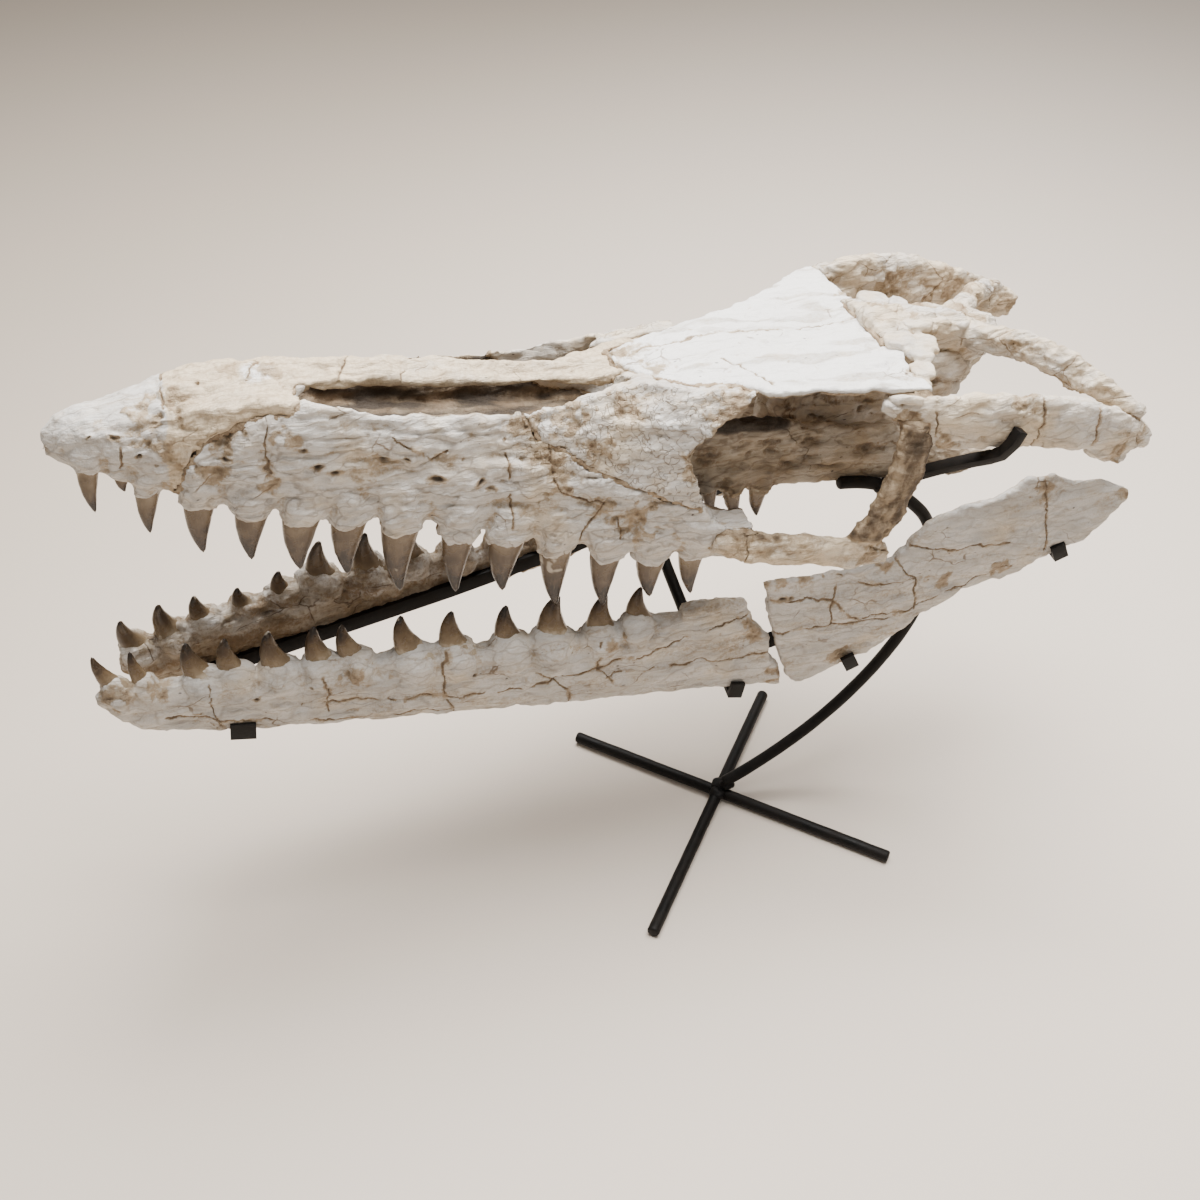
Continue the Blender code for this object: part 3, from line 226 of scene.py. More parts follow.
# Bones whose seams hold matrix, how near a bone has to be, and how deep the matrix lies
SEAM_BONES = ["premaxilla", "left_maxilla", "right_maxilla", "left_prefrontal", "right_prefrontal", "frontal",
              "parietal", "left_jugal", "right_jugal", "left_temporal_arch", "right_temporal_arch"]
SEAM_REACH = 3.4
SEAM_DEPTH = 0.7
SEAM_THICKNESS = 1.5
SEAM_VOXEL = 1.9
RAGGED = 5  # seed of the shift that makes all edges uneven, the same for neighbours
REFINED_REACH = 2.3  # how far from a thin mark the mesh is finer

# The stand, in metres
ROD_RADIUS = 0.005
ROD_SIDES = 24
FOOT_LONG = ((-0.0950, 0.1021, 0.005), (0.1050, -0.1125, 0.005))
FOOT_CROSS = ((0.0870, 0.0985, 0.005), (-0.1060, -0.1198, 0.005))
POST_ROUTE = [(0.004, 0, 0.0152), (0.022, 0, 0.023), (0.043, 0, 0.034), (0.084, 0, 0.061),
              (0.118, 0, 0.092), (0.145, 0, 0.126), (0.163, 0, 0.16), (0.171, 0, 0.2), (0.169, 0, 0.236),
              (0.158, 0, 0.262), (0.135, 0, 0.287), (0.112, 0, 0.3035), (0.095, 0, 0.3095),
              (0.077, 0, 0.313)]
CROSS_STRUT = ((-0.031, 0.105, 0.232), (-0.028, -0.006, 0.181))
POST_LINK = ((0.166, -0.0290, 0.238), (0.167, -0.0058, 0.238))
# Weld beads: centre and size
WELDS = [((0.003, 0.003, 0.009), 0.0075), ((-0.003, -0.004, 0.008), 0.0065), ((0.007, -0.001, 0.013), 0.006),
         ((0.112, -0.003, 0.3035), 0.006), ((0.166, -0.0075, 0.238), 0.005), ((0.166, -0.027, 0.238), 0.0045)]

# Camera, in the photograph's place
CAMERA_AT = (-0.3542, -0.7140, 0.8848)
CAMERA_DOWN = math.radians(40)
CAMERA_YAW = math.radians(-19)
LENS = 40.5
SENSOR = 36
FLOOR_REACH = 8
FLOOR_DROP = 0.0004  # keeps the floor just under the foot
DAYLIGHT = 0.325
DAYLIGHT_COLOUR = (236, 231, 225)
LAMP_COLOUR = (1.0, 0.985, 0.965)
LAMP_AIM = (-0.05, 0.0, 0.25)
# Lamps: place, size, power
LAMPS = {"top_light": ((0.15, 0.30, 1.9), 1.5, 136), "front_light": ((-0.9, -1.9, 1.3), 1.4, 3)}


def local_matrix(frame_of):
    """From a frame's millimetres to the row frame in metres."""
    place, turn = frame_of
    return Matrix.Translation(place) @ Euler(turn).to_matrix().to_4x4() @ Matrix.Scale(MM, 4)


def along(keys):
    """A smooth curve through rows of (place, value, ...), held level past its ends."""
    table = np.array(keys, float)
    place = table[:, 0]
    value = table[:, 1:]
    slope = np.gradient(value, place, axis=0)

    def read(x):
        x = min(max(x, place[0]), place[-1])
        i = min(int(np.searchsorted(place, x, side="right")) - 1, len(place) - 2)
        step = place[i + 1] - place[i]
        t = (x - place[i]) / step
        start = (2 * t**3 - 3 * t**2 + 1) * value[i] + (t**3 - 2 * t**2 + t) * step * slope[i]
        end = (3 * t**2 - 2 * t**3) * value[i + 1] + (t**3 - t**2) * step * slope[i + 1]
        return start + end

    return read


def lattice(cells, seed):
    """A repeatable number from 0 to 1 for each whole-number cell."""
    cells = cells.astype(np.int64)
    n = np.bitwise_xor.reduce(cells * np.array(CELL_PRIMES), axis=1) ^ (seed * SEED_PRIME)
    n = ((n ^ (n >> 13)) * MIXERS[0]) & 0x7FFFFFFF
    n = ((n ^ (n >> 15)) * MIXERS[1]) & 0x7FFFFFFF
    return ((n >> 7) & 0xFFFF) / 0xFFFF


def noise(points, size, seed):
    """Smooth noise from -1 to 1 with features of that size in millimetres, or one size per axis."""
    scaled = points / np.asarray(size, float)
    base = np.floor(scaled)
    t = scaled - base
    t = t * t * t * (t * (t * 6 - 15) + 10)
    total = np.zeros(len(points))
    for corner in itertools.product((0, 1), repeat=3):
        share = np.prod(np.where(np.array(corner) == 1, t, 1 - t), axis=1)
        total += share * lattice(base + np.array(corner), seed)
    return total * 2 - 1


def rough_noise(points, size, seed, octaves=3):
    total = np.zeros(len(points))
    for octave in range(octaves):
        total += noise(points, np.asarray(size, float) / 2**octave, seed + octave) / 2**octave
    return total


def warped(points, size, reach, seed):
    """Points pushed about by noise, so that what is read at them wanders."""
    return points + reach * np.stack([noise(points, size, seed + axis) for axis in range(3)], axis=1)


def ease(value):
    value = np.clip(value, 0, 1)
    return value * value * (3 - 2 * value)


def crack_web(points, size, width, seed):
    """1 in the middle of wandering thin cracks, 0 away from them."""
    bent = warped(points, size * 0.4, size * 0.16, seed)
    return ease(1 - np.abs(noise(bent, size, seed + 5)) * size / width)


def seams_of(node):
    """The old breaks drawn on a bone, one by one: (plane, corners)."""
    return [(plane, corners) for plane, lines in SEAMS.get(node, {}).items() for corners in lines]


def near_line(points, plane, corners):
    """Distance in millimetres to a line of points drawn on a bone's side (x, z) or top (x, y)."""
    flat = points[:, [0, 2]] if plane == "side" else points[:, [0, 1]]
    best = np.full(len(points), 1e9)
    for start, end in zip(corners, corners[1:]):
        a = np.array(start, float)
        run = np.array(end, float) - a
        share = np.clip((flat - a) @ run / (run @ run), 0, 1)
        best = np.minimum(best, np.linalg.norm(flat - a - share[:, None] * run, axis=1))
    return best


@contextlib.contextmanager
def editing(mesh):
    """The mesh as a bmesh, written back at the end."""
    bm = bmesh.new()
    bm.from_mesh(mesh)
    yield bm
    bm.to_mesh(mesh)
    bm.free()


def plain_mesh(name, build):
    mesh = bpy.data.meshes.new(name)
    with editing(mesh) as bm:
        build(bm)
        bmesh.ops.recalc_face_normals(bm, faces=bm.faces)
    return mesh


def add_rings(bm, rings):
    """Skins rings of points and closes both ends."""
    rows = [[bm.verts.new(point) for point in ring] for ring in rings]
    for row, following in zip(rows, rows[1:]):
        for i in range(len(row)):
            j = (i + 1) % len(row)
            bm.faces.new((row[i], row[j], following[j], following[i]))
    bm.faces.new(rows[0])
    bm.faces.new(rows[-1])


def new_object(name, mesh):
    item = bpy.data.objects.new(name, mesh)
    bpy.context.scene.collection.objects.link(item)
    return item


def shaped(item):
    """The mesh that an object's modifiers make of it; the object goes."""
    bpy.context.view_layer.update()
    seen = item.evaluated_get(bpy.context.evaluated_depsgraph_get())
    mesh = bpy.data.meshes.new_from_object(seen)
    bpy.data.objects.remove(item)
    return mesh


def show(name, mesh, material, nodes=()):
    """Puts a finished mesh, already in the row frame, into the scene as a piece of the object."""
    item = new_object(name, mesh)
    mesh.materials.clear()
    mesh.materials.append(material)
    mesh.shade_smooth()
    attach(item, "root")
    if nodes:
        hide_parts(*nodes)
    return item


def cad_copy(node, matrix):
    """A node's own solid, welded, in its frame's millimetres."""
    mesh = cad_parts[node].data.copy()
    mesh.transform(matrix.inverted())
    with editing(mesh) as bm:
        bmesh.ops.remove_doubles(bm, verts=bm.verts, dist=WELDED)
    return mesh


def remeshed(mesh, voxel, passes):
    """The mesh rebuilt from voxels of that size and smoothed."""
    item = new_object("work", mesh)
    fine = item.modifiers.new("fine", "REMESH")
    fine.mode = "VOXEL"
    fine.voxel_size = voxel
    if passes:
        soften = item.modifiers.new("soften", "SMOOTH")
        soften.factor = 0.5
        soften.iterations = passes
    return shaped(item)


def crown_rings(base, tip, width, profile, sides, count, flatness):
    """Rings of a crown or a socket between base and tip."""
    base = Vector(base)
    axis = Vector(tip) - base
    forward = axis.cross(Vector((0, 1, 0))).normalized()
    if forward.x > 0:
        forward.negate()
    across = forward.cross(axis).normalized()
    read = along(profile)
    rings = []
    for share in np.linspace(profile[0][0], profile[-1][0], count):
        radius, bend = read(share)
        centre = base + axis * share + forward * width * bend
        ring = []
        for i in range(sides):
            angle = 2 * math.pi * i / sides
            ring.append(centre + forward * width * radius * math.cos(angle)
                        + across * width * radius * flatness * math.sin(angle))
        rings.append(ring)
    return rings


def upper_tooth(row, side):
    x, crown, width, lean = row
    y, z = along(TOOTH_LINE)(x)
    y -= ALVEOLAR_WALL * 0.5 * min(1, y / 20)
    return (x, side * y, z + 1), (x + lean, side * (y + UPPER_SPLAY), z - crown), width


def lower_tooth(row, side, top):
    x, crown, width, lean = row
    z = along(top)(x)[0]
    return (x, 0, z - 3), (x + lean, side * LOWER_SPLAY, z + crown), width


def pterygoid_tooth(row, side):
    x, crown, width, lean = row
    y, z = along(PTERYGOID_LINE)(x)
    return (x, side * y, z + 1), (x + lean, side * y, z - crown), width


TEETH = {
    "premaxilla": [upper_tooth(row, LEFT) for row in UPPER_TEETH[:PREMAXILLARY_TEETH]]
                  + [upper_tooth(row, RIGHT) for row in UPPER_TEETH[:PREMAXILLARY_TEETH]]
                  + [upper_tooth(STUB_TOOTH, LEFT)],
    "left_maxilla": [upper_tooth(row, LEFT) for row in UPPER_TEETH[PREMAXILLARY_TEETH:]],
    "right_maxilla": [upper_tooth(row, RIGHT) for row in UPPER_TEETH[PREMAXILLARY_TEETH:]],
    "left_dentary": [lower_tooth(row, LEFT, LEFT_JAW_TOP) for row in LEFT_LOWER_TEETH],
    "right_dentary": [lower_tooth(row, RIGHT, RIGHT_JAW_TOP) for row in RIGHT_LOWER_TEETH],
    "left_pterygoid": [pterygoid_tooth(row, LEFT) for row in PTERYGOID_TEETH],
    "right_pterygoid": [pterygoid_tooth(row, RIGHT) for row in PTERYGOID_TEETH],
}


def beyond_gums(node):
    """A prism over everything past a bone's gum line, where its teeth stand."""
    if "dentary" in node:
        keys = LEFT_JAW_TOP if node.startswith("left") else RIGHT_JAW_TOP
        edge = [(x, z + 0.6) for x, z in keys if x < LOWER_GUM_END]
        edge = [(edge[0][0] - BEFORE_GUM, edge[0][1]), *edge, (LOWER_CUT_END, edge[-1][1])]
        far = LOWER_CUT_FAR
    elif "pterygoid" in node:
        edge = [(380, -22), *[(x, z - 1.5) for x, y, z in PTERYGOID_LINE[:4]]]
        far = PTERYGOID_CUT_FAR
    else:
        edge = [(-30, -14), *[(x, z - 1.2) for x, y, z in TOOTH_LINE]]
        far = UPPER_CUT_FAR
    outline = edge + [(edge[-1][0], far), (edge[0][0], far)]

    def build(bm):
        add_rings(bm, [[(x, y, z) for x, z in outline] for y in (-CUT_HALF_WIDTH, CUT_HALF_WIDTH)])
        bmesh.ops.triangulate(bm, faces=bm.faces)

    return plain_mesh("beyond_gums", build)


def fine_mesh(node, matrix, voxel, passes):
    """A bone's solid without its teeth, with sockets for them, remeshed finely and smoothed."""
    mesh = cad_copy(node, matrix)
    if node in TEETH:
        item = new_object("work", mesh)
        cutter = new_object("cutter", beyond_gums(node))
        cut = item.modifiers.new("cut", "BOOLEAN")
        cut.operation = "DIFFERENCE"
        cut.solver = "MANIFOLD"  # the exact solver drops whole pieces on some of these cuts
        cut.object = cutter
        mesh = shaped(item)
        bpy.data.objects.remove(cutter)
        profile = LOWER_SOCKET if "dentary" in node else SOCKET
        with editing(mesh) as bm:
            for base, tip, width in TEETH[node]:
                rings = crown_rings(base, tip, width, profile, SOCKET_SIDES, SOCKET_RINGS, SOCKET_FLATNESS)
                add_rings(bm, rings)
            bmesh.ops.triangulate(bm, faces=bm.faces)
            bmesh.ops.recalc_face_normals(bm, faces=bm.faces)
    return remeshed(mesh, voxel * (1), passes)


def arrays_of(mesh):
    count = len(mesh.vertices)
    points = np.empty(count * 3)
    mesh.vertices.foreach_get("co", points)
    normals = np.empty(count * 3)
    mesh.vertex_normals.foreach_get("vector", normals)
    return points.reshape(-1, 3), normals.reshape(-1, 3)


def write_marks(mesh, stain, light, dark, tone):
    """Stores what the materials read at each vertex: matrix, light and dark shares, and the tone; the light
    share holds bleached bone and painted highlight, the dark share dark marks and painted shade.
    """
    marks = mesh.color_attributes.new("marks", "FLOAT_COLOR", "POINT")
    rows = np.stack([stain, light, dark, np.ones(len(stain))], axis=1)
    marks.data.foreach_set("color", np.clip(rows, 0, 1).ravel())
    shade = mesh.attributes.new("tone", "FLOAT", "POINT")
    shade.data.foreach_set("value", np.clip(tone, 0, 1))


class Surface:
    """A bone's surface while it weathers: its height over the mesh, and what its material reads."""

    def __init__(self, mesh, seed):
        self.points, self.normals = arrays_of(mesh)
        self.x, self.y, self.z = self.points.T
        self.wander = wandering(self.points)
        self.seed = seed
        self.dark = np.zeros(len(self.points))

    def noise(self, size, step):
        return noise(self.points, size, self.seed + step)

    def rough(self, size, step, octaves=3):
        return rough_noise(self.points, size, self.seed + step, octaves)

    def more(self, **shares):
        """Raises stain, light or dark to at least these values."""
        for name, values in shares.items():
            setattr(self, name, np.maximum(getattr(self, name), values))

    def store(self, mesh):
        moved = self.points + self.normals * self.height[:, None]
        moved += warped(self.points, 11, 1.2, RAGGED) + warped(self.points, 5, 0.35, RAGGED + 3)
        moved -= 2 * self.points
        mesh.vertices.foreach_set("co", moved.ravel())
        write_marks(mesh, self.stain, self.light, self.dark, self.tone)


def outward(normals, plane):
    """How squarely a surface faces the left side or the top."""
    return -normals[:, 1] if plane == "side" else normals[:, 2]


def side_of(node):
    return LEFT if node.startswith("left") else RIGHT


def grow_relief(s, tone, lumps, fibres, fine):
    """Lumps, fibres lengthwise, flakes with sharp edges and fine grit, under a mottled tone."""
    s.grain = warped(s.points, 24, 3, s.seed)
    streaks = noise(s.grain, (24, 2.8, 2.8), s.seed + 3) + 0.6 * noise(s.grain, (12, 1.7, 1.7), s.seed + 4)
    furrows = 1 - np.abs(noise(s.grain, (34, 6.5, 6.5), s.seed + 5)) * 2
    flakes = rough_noise(warped(s.points, 9, 3, s.seed + 80), (26, 9, 9), s.seed + 84, 2)
    s.height = lumps * (1.5 * s.rough(17, 6) + 0.8 * furrows)
    s.height += 2.0 * fibres * streaks
    s.height += 1.6 * fine * s.rough(4.2, 9, 2)
    s.height += 1.1 * lumps * (ease((flakes - 0.12) * 9) + ease((flakes + 0.35) * 9) - 1)
    s.tone = tone + 0.35 * s.rough(30, 12) + 0.1 * streaks
    s.stain = 0.12 * ease(s.rough(22, 15) * 0.9 + 0.1)
    s.light = 0.3 * ease(s.rough(26, 18))


def fill_breaks(s, node):
    """Old breaks: broken grooves with matrix in them and a faint stain beside them."""
    for plane, corners in seams_of(node):
        away = near_line(s.wander, plane, corners)
        faces = ease(outward(s.normals, plane) * 3)
        width = 0.62 + 0.3 * s.noise(9, 46)
        broken = ease(s.noise(13, 47) * 2.2 + 1.3)
        groove = ease(1.5 - away / width) * faces * broken
        s.height -= 0.8 * groove
        s.more(stain=groove, dark=groove * (0.35 + 0.3 * s.noise(6, 49)))
        s.more(stain=0.45 * ease(1.2 - away / 3.5) * faces * ease(s.noise(11, 48) * 1.8))


def lay_matrix(s, node):
    """Crumbling patches of matrix, with islands of clean bone in them."""
    for *centre, radius in MATRIX.get(node, []):
        apart = np.linalg.norm(s.wander - np.array(centre), axis=1) / radius
        patch = ease(1.5 - apart + 0.55 * s.rough(7, 50))
        island = ease(s.noise(9, 52) * 3 - 0.6)
        s.height += patch * (1.1 * s.rough(4.5, 53) - 0.7) * (1 - island)
        s.more(stain=patch * (0.62 + 0.35 * s.noise(3.5, 56)) * (1 - island))


def swell_sockets(s, node):
    """The bone swells beside each tooth and sinks between the teeth."""
    for base, tip, width in TEETH.get(node, []):
        reach = np.linalg.norm((s.points - np.array(base)) * (1 / width, 0.6 / width, 0.55 / width), axis=1)
        out = -1 if tip[2] > base[2] else 1
        beside = ease(1.25 - np.abs(s.z - base[2] - 5 * out) / 9) * ease(np.abs(s.normals[:, 1]) * 2)
        between = ease(1.5 - np.abs(s.x - base[0] - 0.72 * width) / 3) * beside
        s.height += 1.1 * ease(1.2 - reach) * beside
        s.height -= 0.9 * between
        # painted shade and some stain darken the sunken bone between the teeth
        s.more(stain=0.3 * between, dark=0.25 * between)


def sink_holes(s, node):
    """Holes longer than wide, with raised rims, darkened with painted shade and ringed with stain."""
    for *centre, radius in HOLES.get(node, []):
        apart = np.linalg.norm((s.wander - np.array(centre)) * (0.62, 0.45, 1.1), axis=1) / radius
        hole = ease(1.25 - apart)
        s.height += 0.5 * ease(2.2 - apart) - 2.4 * hole
        # painted shade: the dark share fills the sunken hole
        s.more(stain=0.5 * ease(1.9 - apart), dark=0.82 * hole)


def worm_lines(s, node):
    """How strongly worm-like lines show: outside on the prefrontals and at the left maxilla's rear."""
    if "prefrontal" in node:
        return ease(side_of(node) * s.normals[:, 1] * 2 + 0.5)
    if node == "left_maxilla":
        return 0.8 * ease((s.x - WORMY_FROM[0]) / 25) * ease((s.z - WORMY_FROM[1]) / 14)
    return np.zeros(len(s.points))


def wear_jugal(s):
    """Stained all over, its upright branch brown."""
    upright = ease((s.z - JUGAL_BEND) / 9) * (0.9 + 0.4 * s.rough((6, 6, 18), 63))
    s.more(stain=0.22 + 0.15 * s.rough(9, 61))
    s.more(stain=0.95 * upright, dark=0.56 * upright)


def wear_braincase(s):
    s.more(light=0.34 + 0.3 * s.rough(14, 62))


def shade_and_streak_pterygoid(s):
    # painted shade darkens the pterygoids all over, in the orbits' hollow; the light streaks are their own
    # colour
    s.more(dark=0.34 + 0.12 * s.rough((30, 9, 9), 66), light=0.3 * ease(s.rough((22, 7, 7), 69)))


def wear_right_dentary(s):
    """Lumpy, paler along the gum and brown further down."""
    depth = np.interp(s.x, *zip(*RIGHT_JAW_TOP)) - s.z
    s.more(light=0.5 * ease(1.5 - depth / 20) * (0.8 + 0.6 * s.rough(12, 68)),
           stain=0.3 + 0.2 * s.rough((24, 9, 9), 79),
           dark=0.05 * ease((depth - 16) / 14) + 0.3 * s.rough((20, 7, 7), 71))
    s.height += 0.9 * s.rough((13, 8, 8), 74)


def stain_and_shade_left_jaw(s):
    """Greyer than the skull and darkened all over with painted shade, and browner on its inner side."""
    # painted shade: the dark share darkens the whole jaw
    s.more(stain=0.13 + 0.16 * s.rough((24, 8, 8), 77), dark=0.31 + 0.12 * s.rough((24, 9, 9), 79))
    s.more(stain=0.45 * ease(s.normals[:, 1] * 1.5))


def wear_premaxilla(s):
    """A pale tip that steps up to a cream bar, with one bleached patch on it."""
    tip = s.x < SNOUT_STEP
    s.tone = np.where(tip, s.tone - 0.4, s.tone + 0.7)
    s.more(stain=0.26 * ease((s.x - SNOUT_STEP + 2) / 6))
    s.light = np.where(tip, s.light, s.light * 0.3)
    s.height += 0.9 * ease((s.x - SNOUT_STEP + 4) / 5) * ease(s.normals[:, 2] * 3) - 0.4
    patch = ease(1.3 - np.linalg.norm((s.points - np.array(BLEACHED_PATCH)) * (1, 1, 0.5), axis=1) / 12)
    s.more(light=patch)
    s.tone = s.tone - 0.8 * patch
    s.height += 0.8 * patch


def stain_and_top_light_frontal(s):
    """A roof whitened by painted top light on its upward faces, with faint veins, brown underneath."""
    veins = ease(rough_noise(s.grain, (60, 7, 7), s.seed + 64) * 1.6)
    # painted top light: faces turned up get the light share
    s.more(light=ease(s.normals[:, 2] * 3 - 0.5) * (0.9 - 0.7 * veins))
    s.stain *= 0.75
    s.more(stain=0.16 * veins)
    s.more(stain=0.8 * ease(-s.normals[:, 2] * 2))


def shade_nares(s, node):
    """Brown and dark inside the nostrils' hollow."""
    within = ease((np.interp(s.x, *zip(*NASAL_HALF_WIDTH)) - np.abs(s.y)) / 2)
    floor = ease(s.normals[:, 2] * 1.2) * ease((NASAL_FLOOR - s.z) / 8) * within
    wall = ease(-side_of(node) * s.normals[:, 1] * 1.4 + 0.35) * within
    inside = np.maximum(floor, wall)
    s.more(stain=inside * (0.9 + 0.3 * s.rough(12, 90)), dark=inside * (0.66 + 0.3 * s.rough((26, 7, 7), 93)))


def shade_orbit(s, node):
    """Deep shade where the orbits' hollow opens inwards."""
    front, rear = ORBIT_HOLLOW
    shade = ease((s.z - 12) / 7) * ease((rear - s.x) / 16) * ease((s.x - front) / 8)
    if node == "right_prefrontal":
        shade *= ease(-s.normals[:, 1] * 2) * ease((44 - s.z) / 8)
    s.more(dark=0.95 * shade)


OWN_WEAR_AND_SHADE = {
    "left_jugal": wear_jugal, "braincase": wear_braincase, "left_pterygoid": shade_and_streak_pterygoid,
    "right_pterygoid": shade_and_streak_pterygoid, "right_dentary": wear_right_dentary, "left_dentary": stain_and_shade_left_jaw,
    "left_rear_jaw": stain_and_shade_left_jaw, "premaxilla": wear_premaxilla, "frontal": stain_and_top_light_frontal,
}


def weather(node, mesh, material, look):
    """Moves a bone's surface by relief, breaks, matrix and holes, and notes its stains and shades."""
    tone, lumps, fibres, fine, cracks = look
    s = Surface(mesh, 11 * (list(BONES).index(node) + 3) if node in BONES else RUBBLE_SEED)
    grow_relief(s, tone, lumps, fibres, fine)
    fill_breaks(s, node)
    lay_matrix(s, node)
    swell_sockets(s, node)
    sink_holes(s, node)
    if node in BEHIND_ORBIT:
        shade_orbit(s, node)
    if node in OWN_WEAR_AND_SHADE:
        OWN_WEAR_AND_SHADE[node](s)
    if "maxilla" in node and node != "premaxilla":
        shade_nares(s, node)
    # Low places get brown stain and painted shade.
    hollow = ease(-0.1 - s.height / 1.6)
    s.more(stain=0.4 * hollow, dark=0.22 * hollow)
    if material == "stained_bone":
        # painted shade in the brown bones' low places and painted highlight on their high places
        s.more(dark=0.55 * ease(-0.4 - s.height / 1.7), light=0.25 * ease(s.height / 1.6))
    s.store(mesh)
    wear = mesh.color_attributes.new("wear", "FLOAT_COLOR", "POINT")
    level = np.ones(len(s.points))
    flaky = min(lumps * 0.9 + fibres, 1) * level
    rows = np.stack([flaky, min(cracks / 1.5, 1) * level, worm_lines(s, node), level], axis=1)
    wear.data.foreach_set("color", rows.ravel())


def wandering(points):
    """Points moved so that straight lines drawn through them come out broken and crooked."""
    return warped(warped(points, 15, 3.2, 44), 4, 1.1, 45)


def refine(node, mesh):
    """Halves the faces along seams and round holes, so that thin marks hold there."""
    points, normals = arrays_of(mesh)
    wander = wandering(points)
    close = np.zeros(len(points), bool)
    for plane, corners in seams_of(node):
        close |= (near_line(wander, plane, corners) < REFINED_REACH) & (outward(normals, plane) > 0.1)
    for *centre, radius in HOLES.get(node, []):
        close |= np.linalg.norm(wander - np.array(centre), axis=1) < radius + REFINED_REACH
    with editing(mesh) as bm:
        edges = [edge for edge in bm.edges if close[edge.verts[0].index] and close[edge.verts[1].index]]
        bmesh.ops.subdivide_edges(bm, edges=edges, cuts=1, use_grid_fill=True)
        bmesh.ops.triangulate(bm, faces=[face for face in bm.faces if len(face.verts) > 4])


def make_bone(node):
    slot, frame_of, voxel, passes, *look = BONES[node]
    material = "stained_bone" if slot == "brown_bone" else "weathered_bone"
    matrix = local_matrix(frame_of)
    mesh = fine_mesh(node, matrix, voxel, passes)
    refine(node, mesh)
    weather(node, mesh, material, look)
    mesh.transform(matrix)
    show(node + "_bone", mesh, MATERIALS[material], (node,))


def make_seam_fill():
    """Brown matrix in the seams between the skull's bones, a little below their surfaces."""
    matrix = local_matrix(SKULL_FRAME)
    bones = [cad_copy(node, matrix) for node in SEAM_BONES]
    trees = [bvhtree.BVHTree.FromPolygons([vert.co for vert in bone.vertices],
                                          [face.vertices for face in bone.polygons]) for bone in bones]
    mesh = bpy.data.meshes.new("seam_fill")
    with editing(mesh) as bm:
        for bone in bones:
            bm.from_mesh(bone)
    mesh = remeshed(mesh, SEAM_VOXEL, 0)
    with editing(mesh) as bm:
        bm.normal_update()
        far = []
        for vert in bm.verts:
            near = sum(tree.find_nearest(vert.co, SEAM_REACH)[0] is not None for tree in trees)
            if near < 2:
                far.append(vert)
        for vert in bm.verts:
            vert.co -= vert.normal * SEAM_DEPTH
        bmesh.ops.delete(bm, geom=far, context="VERTS")
    points, normals = arrays_of(mesh)
    tone = 0.6 + 0.3 * rough_noise(points, 9, 701)
    stain = 0.75 + 0.25 * rough_noise(points, 5, 704)
    write_marks(mesh, stain, 0 * stain, 0.15 + 0.3 * noise(points, 4, 707), tone)
    mesh.vertices.foreach_set("co", (points + normals * 0.35 * rough_noise(points, 4, 710)[:, None]).ravel())
    item = new_object("work", mesh)
    thick = item.modifiers.new("thick", "SOLIDIFY")
    thick.thickness = SEAM_THICKNESS
    mesh = shaped(item)
    mesh.transform(matrix)
    show("seam_fill", mesh, MATERIALS["weathered_bone"])


def make_rubble():
    """Broken plates pressed over the joint of the frontal, the parietal and the left arch."""
    outlines = []
    angles = np.linspace(0, 2 * math.pi, RUBBLE_CORNERS, endpoint=False)
    for number, (x, y, z, length, width, turn, tip) in enumerate(RUBBLE):
        reach = 0.42 + 0.16 * lattice(np.array([[number, corner, 7] for corner in range(RUBBLE_CORNERS)]), 61)
        flat = np.stack([length * reach * np.cos(angles), width * reach * np.sin(angles)], axis=1)
        turned = Euler((math.radians(tip), 0, math.radians(turn))).to_matrix().to_4x4()
        place = Matrix.Translation((x, y, z)) @ turned
        outlines.append([[place @ Vector((u * grow, v * grow, rise)) for u, v in flat]
                         for rise, grow in RUBBLE_PROFILE])

    def build(bm):
        for rings in outlines:
            add_rings(bm, rings)

    mesh = remeshed(plain_mesh("rubble", build), RUBBLE_VOXEL, 3)
    weather("rubble", mesh, "weathered_bone", RUBBLE_LOOK)
    mesh.transform(local_matrix(SKULL_FRAME))
    show("parietal_rubble", mesh, MATERIALS["weathered_bone"])


